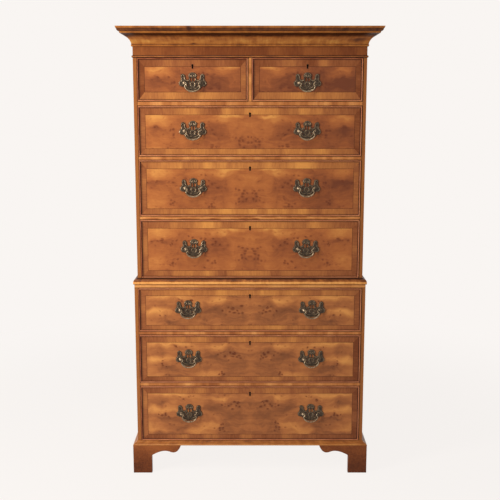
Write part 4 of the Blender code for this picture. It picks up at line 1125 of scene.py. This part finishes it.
# Lacquered brass of the locks: yellow and even, with faint rub marks
LOCK_TONES = ((0.3, "a07c3c"), (0.7, "c7a560"))
LOCK_BRASS, node, shader, rubbed, colour = start_flecked("lacquered_brass", 160.0, 4.0, LOCK_TONES)
gloss = node("MapRange", rubbed, 0.0, 1.0, 0.26, 0.42)[0]
feed(shader, {"Base Color": colour, "Metallic": 1.0, "Roughness": gloss})

# Near black inside the keyhole, on the lock's pipe: painted shade in the hole
KEYHOLE_SHADE_TONES = ((0.3, "120c09"), (0.7, "241a14"))
KEYHOLE_SHADE_BLACK, _, shader, _, colour = start_flecked("keyhole_painted_shade", 500.0, 2.0, KEYHOLE_SHADE_TONES)
feed(shader, {"Base Color": colour, "Roughness": 0.9, "Specular IOR Level": 0.1})

for number, (edges, face, middle, key_level) in fronts.items():
    body, solid = f"drawer_{number}", f"drawer_{number}_front"
    front, behind = face - THREAD_PROUD, face + THREAD_DEEP
    steps = ((THREAD_WALL, behind), (THREAD_WALL, front), (0, front), (0, behind))
    shape = bmesh.new()
    add_loft(shape, keyhole_rings(middle, key_level, steps), closed=True)
    thread = new_piece(f"drawer_{number}_escutcheon", shape, BRASS)
    thread.data.set_sharp_from_angle(angle=math.radians(35.0))
    store_values(thread.data, "rubbed", "POINT", [0.1] * len(thread.data.vertices))
    fit(thread, body, solid)

    start, end = behind + PIPE_PLAY, face + PIPE_END
    steps = ((THREAD_WALL, end), (THREAD_WALL, start), (-PIPE_PLAY, start), (-PIPE_PLAY, end - PIPE_FLOOR))
    shape = bmesh.new()
    add_loft(shape, keyhole_rings(middle, key_level, steps))
    fit(new_piece(f"drawer_{number}_key_pipe", shape, KEYHOLE_SHADE_BLACK), body, solid)

    top = edges[3]
    rear = face + FRONT_THICK
    shape = bmesh.new()
    for half, (y0, y1), (z0, z1) in LOCK_PARTS:
        add_box(shape, (middle - half, rear + y0, top + z0), (middle + half, rear + y1, top + z1))
    lock = new_piece(f"drawer_{number}_lock", shape, LOCK_BRASS)
    ease_edges(lock, 0.0003, 1)
    fit(lock, body, solid)
    spots = [(middle + x, rear + y, top + z) for x, y, z in LOCK_SCREWS]
    name = f"drawer_{number}_lock_screws"
    screw_row(name, spots, LOCK_BRASS, body, "antique_brass", radius=0.0022, seed=number)


# The drawer boxes
# Thin linings of pale ash: two sides dovetailed to the front and the back, and a bottom slid into
# grooves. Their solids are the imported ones; the dovetails at the four corners are added here.

DOVETAIL_PITCH = 0.029
DOVETAIL_NECK = 0.0045
DOVETAIL_ROOT = 0.0085
DOVETAIL_DEEP = 0.001
DOVETAIL_SKIN = 0.0002
BACK_BOARD = 0.010
BACK_DROP = 0.009

# Ash lining: pale straw, dry to the touch, with open pores drawn out along each board
ASH, node, shader, point = start_material("planed_ash_lining")
x, y, z = node("SeparateXYZ", point)
run = node("ADD", node("MULTIPLY", x, 0.4), y)
rings = add_grain(node, run, z, x, (0.40, 0.012), 41.0)
pores = add_grain(node, run, z, x, (0.030, 0.0014), 43.0)
ASH_TONES = ((0.28, "a5814f"), (0.48, "c8a673"), (0.70, "dcc092"))
finish_board(node, shader, rings, pores, 0.40, ASH_TONES, (0.48, 0.62))

# End grain of the dovetail pins: darker, with close dots
DOT_TONES = ((0.3, "7e5932"), (0.7, "a37a49"))
END_GRAIN, node, shader, dots, colour = start_flecked("pine_end_grain", 480.0, 3.0, DOT_TONES)
finish_wood(node, shader, colour, dots, 0.0001, (0.6, 0.75))

# Dovetail pins: one wedge repeated up each corner, and mirrored to the other side of the drawer
PIN_SIZES = {"Pitch": 0.029, "Count": 5, "Start": 0.0, "Middle": 0.0}
DOVETAILS, node, given = new_tree("dovetail_pins", PIN_SIZES)
first = node("CombineXYZ", 0.0, 0.0, given["Start"])[0]
step = node("CombineXYZ", 0.0, 0.0, given["Pitch"])[0]
line = {"Count": given["Count"], "Start Location": first, "Offset": step}
line = node("GeometryNodeMeshLine", line, mode="OFFSET")[0]
pins = node("GeometryNodeInstanceOnPoints", {"Points": line, "Instance": given["Geometry"]})[0]
pins = node("GeometryNodeRealizeInstances", pins)[0]
other = node("GeometryNodeTransform", {"Geometry": pins, "Scale": (-1.0, 1.0, 1.0)})[0]
both = DOVETAILS.nodes.new("GeometryNodeJoinGeometry")
for geometry in (node("GeometryNodeFlipFaces", other)[0], pins):
    feed(both, {0: geometry})
shift = node("CombineXYZ", given["Middle"])[0]
both = node("GeometryNodeTransform", {"Geometry": both.outputs[0], "Translation": shift})[0]
close_tree(node, both, given)

for number, (edges, face, middle, key_level) in fronts.items():
    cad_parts[f"drawer_{number}_box"].material_slots[0].material = ASH
    low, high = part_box(f"drawer_{number}_box")
    half = (high.x - low.x) / 2
    for end, neck_y, root_y, top in (
        ("front", low.y, face + FRONT_THICK, high.z),
        ("rear", high.y, high.y - BACK_BOARD, high.z - BACK_DROP),
    ):
        count = round((top - low.z) / DOVETAIL_PITCH)
        pitch = (top - low.z) / count
        neck, root = DOVETAIL_NECK / 2, DOVETAIL_ROOT / 2
        wedge = ((neck_y, -neck), (root_y, -root), (root_y, root), (neck_y, neck))
        reach = (half - DOVETAIL_DEEP, half + DOVETAIL_SKIN)
        shape = bmesh.new()
        add_loft(shape, [[(x, *point) for point in wedge] for x in reach])
        bmesh.ops.recalc_face_normals(shape, faces=shape.faces)
        pin = new_mesh("pin", shape)
        name = f"drawer_{number}_dovetails_{end}"
        sizes = {"start": low.z + pitch / 2, "middle": (low.x + high.x) / 2}
        pins = grow(name, pin, DOVETAILS, END_GRAIN, pitch=pitch, count=count, **sizes)
        fit(pins, f"drawer_{number}")


# The handles
# Cast brass backplates, pierced and chased with scrolls, each with two turned posts. The posts' shanks
# pass through the drawer front to nuts behind it, and a swan-neck bail swings in their heads.

HALF_PLATE = 0.0535
PLATE_RISE = 0.0405
PLATE_DROP = 0.030
PLATE_THICK = 0.0025
PLATE_BACK = 0.0003
PLATE_BEVEL = 0.0006
SCROLL_THICK = (0.0003, 0.0012)
SCROLL_SINK = 0.0001
POST_SPREAD = 0.0325
PIVOT_OUT = 0.0128
NUT_RADIUS = 0.0052
NUT_THICK = 0.0026
NUT_SLOT = 0.0012
# One half of the plate's outline, its piercings, the eye and the scrolls, in shares of its half width and
# of its rise above or its drop below the pivots
PLATE_OUTLINE = (
    (0.0, 1.0), (0.13, 0.965), (0.235, 0.87), (0.30, 0.73), (0.29, 0.59), (0.245, 0.47), (0.30, 0.35),
    (0.40, 0.285), (0.495, 0.35), (0.53, 0.50), (0.545, 0.68), (0.61, 0.81), (0.71, 0.87), (0.81, 0.82),
    (0.865, 0.67), (0.85, 0.47), (0.88, 0.27), (0.97, 0.11), (1.0, -0.05), (0.97, -0.26), (0.87, -0.41),
    (0.76, -0.45), (0.66, -0.44), (0.615, -0.58), (0.52, -0.78), (0.38, -0.92), (0.20, -0.985), (0.0, -1.0),
)
PIERCINGS = (
    ((0.040, 0.19), (0.10, 0.13), (0.16, 0.20), (0.170, 0.36), (0.13, 0.50), (0.060, 0.52), (0.034, 0.36)),
    ((0.675, 0.60), (0.70, 0.56), (0.73, 0.57), (0.745, 0.62), (0.72, 0.67), (0.685, 0.66)),
    ((0.235, 0.08), (0.27, 0.045), (0.315, 0.06), (0.325, 0.13), (0.29, 0.18), (0.25, 0.16)),
    ((0.28, -0.25), (0.315, -0.20), (0.36, -0.25), (0.35, -0.35), (0.31, -0.39), (0.285, -0.34)),
)
EYE = ((0.0, -0.06), (0.035, -0.10), (0.035, -0.17), (0.0, -0.21))
SCROLLS = (
    ((0.0, 0.95), (0.13, 0.91), (0.215, 0.81), (0.24, 0.68), (0.18, 0.60), (0.12, 0.66), (0.14, 0.76)),
    ((0.0, 0.10), (0.10, 0.06), (0.165, -0.05), (0.17, -0.22), (0.12, -0.38), (0.04, -0.46)),
    (
        (0.20, 0.46), (0.19, 0.28), (0.25, 0.28), (0.37, 0.22), (0.50, 0.24),
        (0.58, 0.42), (0.60, 0.62), (0.66, 0.77), (0.77, 0.77), (0.81, 0.62),
    ),
    ((0.80, 0.44), (0.83, 0.20), (0.94, 0.06), (0.955, -0.12), (0.88, -0.30), (0.77, -0.38)),
    ((0.58, -0.54), (0.48, -0.72), (0.34, -0.86), (0.18, -0.93), (0.0, -0.95)),
    ((0.46, 0.06), (0.455, -0.16), (0.43, -0.38), (0.34, -0.58), (0.18, -0.68), (0.05, -0.62)),
    ((0.0, 0.60), (0.07, 0.62), (0.10, 0.70), (0.05, 0.78)),
)

# A drawn bar: a round section swept along a line, as thick at each point as its "thickness" says
DRAWN_BAR, node, given = new_tree("drawn_bar", {"Sides": 12})
line = node("GeometryNodeMeshToCurve", given["Geometry"])[0]
section = node("GeometryNodeCurvePrimitiveCircle", {"Resolution": given["Sides"], "Radius": 1.0})[0]
thickness = node("GeometryNodeInputNamedAttribute", "thickness", data_type="FLOAT")[0]
bar = {"Curve": line, "Profile Curve": section, "Scale": thickness, "Fill Caps": True}
close_tree(node, node("GeometryNodeCurveToMesh", bar)[0], given)


def plate_point(shares, side=1):
    across, up = shares
    return (side * across * HALF_PLATE, up * (PLATE_RISE if up > 0 else PLATE_DROP))


def mirrored(half):
    """The closed line of a half outline and its mirror image."""
    left = [plate_point(shares, -1) for shares in reversed(half[1:-1])]
    return [plate_point(shares) for shares in half] + left


def smooth_line(points, closed, steps=5):
    """A smooth line through the points (Catmull-Rom)."""
    count = len(points)
    result = []
    for i in range(count if closed else count - 1):
        places = [(i + k) % count if closed else min(max(i + k, 0), count - 1) for k in (-1, 0, 1, 2)]
        a, b, c, d = (Vector(points[place]) for place in places)
        for t in (step / steps for step in range(steps)):
            swing = (2 * a - 5 * b + 4 * c - d) * t * t
            twist = (3 * b - a - 3 * c + d) * t**3
            result.append(tuple(0.5 * (2 * b + (c - a) * t + swing + twist)))
    return result if closed else [*result, tuple(points[-1])]


def draw_bars(name, lines, sides):
    """The mesh of round bars along open lines whose points are (x, y, z, thickness)."""
    points = []
    edges = []
    for line in lines:
        edges += [(len(points) + i, len(points) + i + 1) for i in range(len(line) - 1)]
        points += line
    mesh = bpy.data.meshes.new("bars")
    mesh.from_pydata([point[:3] for point in points], edges, [])
    store_values(mesh, "thickness", "POINT", [point[3] for point in points])
    bars = grow(name, mesh, DRAWN_BAR, BRASS, sides=sides)
    mesh = bars.data
    bpy.data.objects.remove(bars)
    return mesh


# The plate's flat, cut out and bevelled
flat = bpy.data.curves.new("plate", "CURVE")
flat.dimensions = "2D"
flat.fill_mode = "BOTH"
flat.bevel_depth = PLATE_BEVEL
flat.bevel_resolution = 2
flat.extrude = PLATE_THICK / 2 - PLATE_BEVEL
flat.offset = -PLATE_BEVEL
outlines = [mirrored(PLATE_OUTLINE)]
for side in (-1, 1):
    outlines += [[plate_point(shares, side) for shares in hole] for hole in PIERCINGS]
outlines.append(mirrored(EYE))
for outline in outlines:
    spline = flat.splines.new("POLY")
    line = smooth_line(outline, True)
    spline.points.add(len(line) - 1)
    for point, (x, z) in zip(spline.points, line):
        point.co = (x, z, 0.0, 1.0)
    spline.use_cyclic_u = True
sheet = new_object("plate", flat)
graph = bpy.context.evaluated_depsgraph_get()
plate_shape = bmesh.new()
plate_shape.from_mesh(bpy.data.meshes.new_from_object(sheet.evaluated_get(graph)))
bpy.data.objects.remove(sheet)
for vertex in plate_shape.verts:
    x, z, out = vertex.co
    vertex.co = (x, -PLATE_BACK - PLATE_THICK / 2 - out, z)
bmesh.ops.remove_doubles(plate_shape, verts=plate_shape.verts, dist=WELD)

# The raised scrolls on it
lines = []
for scroll in SCROLLS:
    for side in (-1, 1):
        path = smooth_line([plate_point(shares) for shares in scroll], False, 4)
        line = []
        for i, (x, z) in enumerate(path):
            swell = math.sin(math.pi * (0.10 + 0.80 * i / (len(path) - 1)))
            thick = SCROLL_THICK[0] + SCROLL_THICK[1] * swell
            line.append((side * x, -PLATE_BACK - PLATE_THICK + SCROLL_SINK, z, thick))
        lines.append(line)
plate_shape.from_mesh(draw_bars("scrolls", lines, sides=8))

# The turned posts, a collar, neck and ball bored for the bail, and their shanks: how far out, and radius
POST_STEPS = (
    (-0.0240, 0.0019), (-0.0240, 0.0020), (0.0010, 0.0020), (0.0020, 0.0062), (0.0036, 0.0062),
    (0.0042, 0.0052), (0.0050, 0.0036), (0.0068, 0.0029), (0.0084, 0.0034), (0.0098, 0.0046),
    (0.0112, 0.0050), (0.0134, 0.0050), (0.0148, 0.0046), (0.0160, 0.0036), (0.0168, 0.0020),
    (0.0171, 0.0006),
)
for side in (-1, 1):
    rings = []
    for out, radius in POST_STEPS:
        ring = ellipse_arc((side * POST_SPREAD, 0.0), (radius, radius), 0, 360, 20)[:-1]
        rings.append([(x, -out, z) for x, z in ring])
    add_loft(plate_shape, rings)
bmesh.ops.recalc_face_normals(plate_shape, faces=plate_shape.faces)
for part in plate_shape.faces:
    part.material_index = 0
plate_mesh = new_mesh("plate", plate_shape)
plate_mesh.materials.append(BRASS)
smooth(plate_mesh, 42.0)
# How far out the posts' balls and necks and the plate's scrolls begin, and how high the scrolls rise
BALL_OUT = 0.0100
NECK_OUT = 0.0048
FLAT_OUT = 0.0024
CREST_RISE = 0.0020


def plate_wear_and_light(point):
    """The flat is dark and its scrolls are rubbed on their crests. The left post's ball is painted bright and
    the right one dark, as painted highlight and painted shade for light from the left.
    """
    out = -point.y
    if out > BALL_OUT:
        return 0.85 if point.x < 0 else 0.20
    return 0.25 if out > NECK_OUT else min(max((out - FLAT_OUT) / CREST_RISE, 0.0), 0.62)


# The bail: pins in the posts, a swan neck, and a bow that swells to the grip. Its path is (x, z, radius)
PIN = [(0.0361, 0.0, 0.0014), (0.0285, 0.0, 0.0014), (0.0276, 0.0, 0.0018)]
NECK_X = 0.0267
NECK_BEND = 0.0032
NECK_THICK = 0.0020
GRIP_SWELL = 0.0006
BAIL_DROP = 0.0330
BOW_STEPS = 16
bend = ellipse_arc((NECK_X, -NECK_BEND), (NECK_BEND, NECK_BEND), 90, 210, 6)
bow = bezier(bend[-1], (0.037375, -0.0165), (0.02015, -BAIL_DROP), (0.0, -BAIL_DROP), BOW_STEPS)
path = PIN + [(x, z, NECK_THICK) for x, z in bend]
for i, (x, z) in enumerate(bow[1:], start=1):
    path.append((x, z, NECK_THICK + GRIP_SWELL * (i / BOW_STEPS) ** 1.5))
path += [(-x, z, radius) for x, z, radius in reversed(path[:-1])]
bail_mesh = draw_bars("bail", [[(x, 0.0, z, radius) for x, z, radius in path]], sides=14)
smooth(bail_mesh, 50.0)

# How bright each point is, from nothing to one: rubbed by fingers, with painted light on the posts' balls
for mesh, wear_and_light in ((plate_mesh, plate_wear_and_light), (bail_mesh, lambda point: 0.74)):
    store_values(mesh, "rubbed", "POINT", [wear_and_light(vertex.co) for vertex in mesh.vertices])

for number, (edges, face, middle, key_level) in fronts.items():
    body = f"drawer_{number}"
    nuts = []
    for end in ("",) if number < 3 else ("_left", "_right"):
        low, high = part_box(f"{body}_plate{end}")
        centre_x = (low.x + high.x) / 2
        pivot = low.z + PLATE_DROP
        for part, rider, mesh, y in (
            ("plate", body, plate_mesh, face),
            ("bail", f"{body}_bail{end}", bail_mesh, face - PIVOT_OUT),
        ):
            piece = new_object(f"handle_{number}_{part}{end}", mesh.copy())
            for vertex in piece.data.vertices:
                vertex.co += Vector((centre_x, y, pivot))
            fit(piece, rider, f"{body}_{part}{end}")
        for side in (-1, 1):
            nuts.append((centre_x + side * POST_SPREAD, face + FRONT_THICK + NUT_THICK / 2, pivot))
    sizes = {"radius": NUT_RADIUS, "height": NUT_THICK, "slot": NUT_SLOT, "sides": 6, "seed": number + 20}
    screw_row(f"drawer_{number}_nuts", nuts, LOCK_BRASS, body, "antique_brass", **sizes)
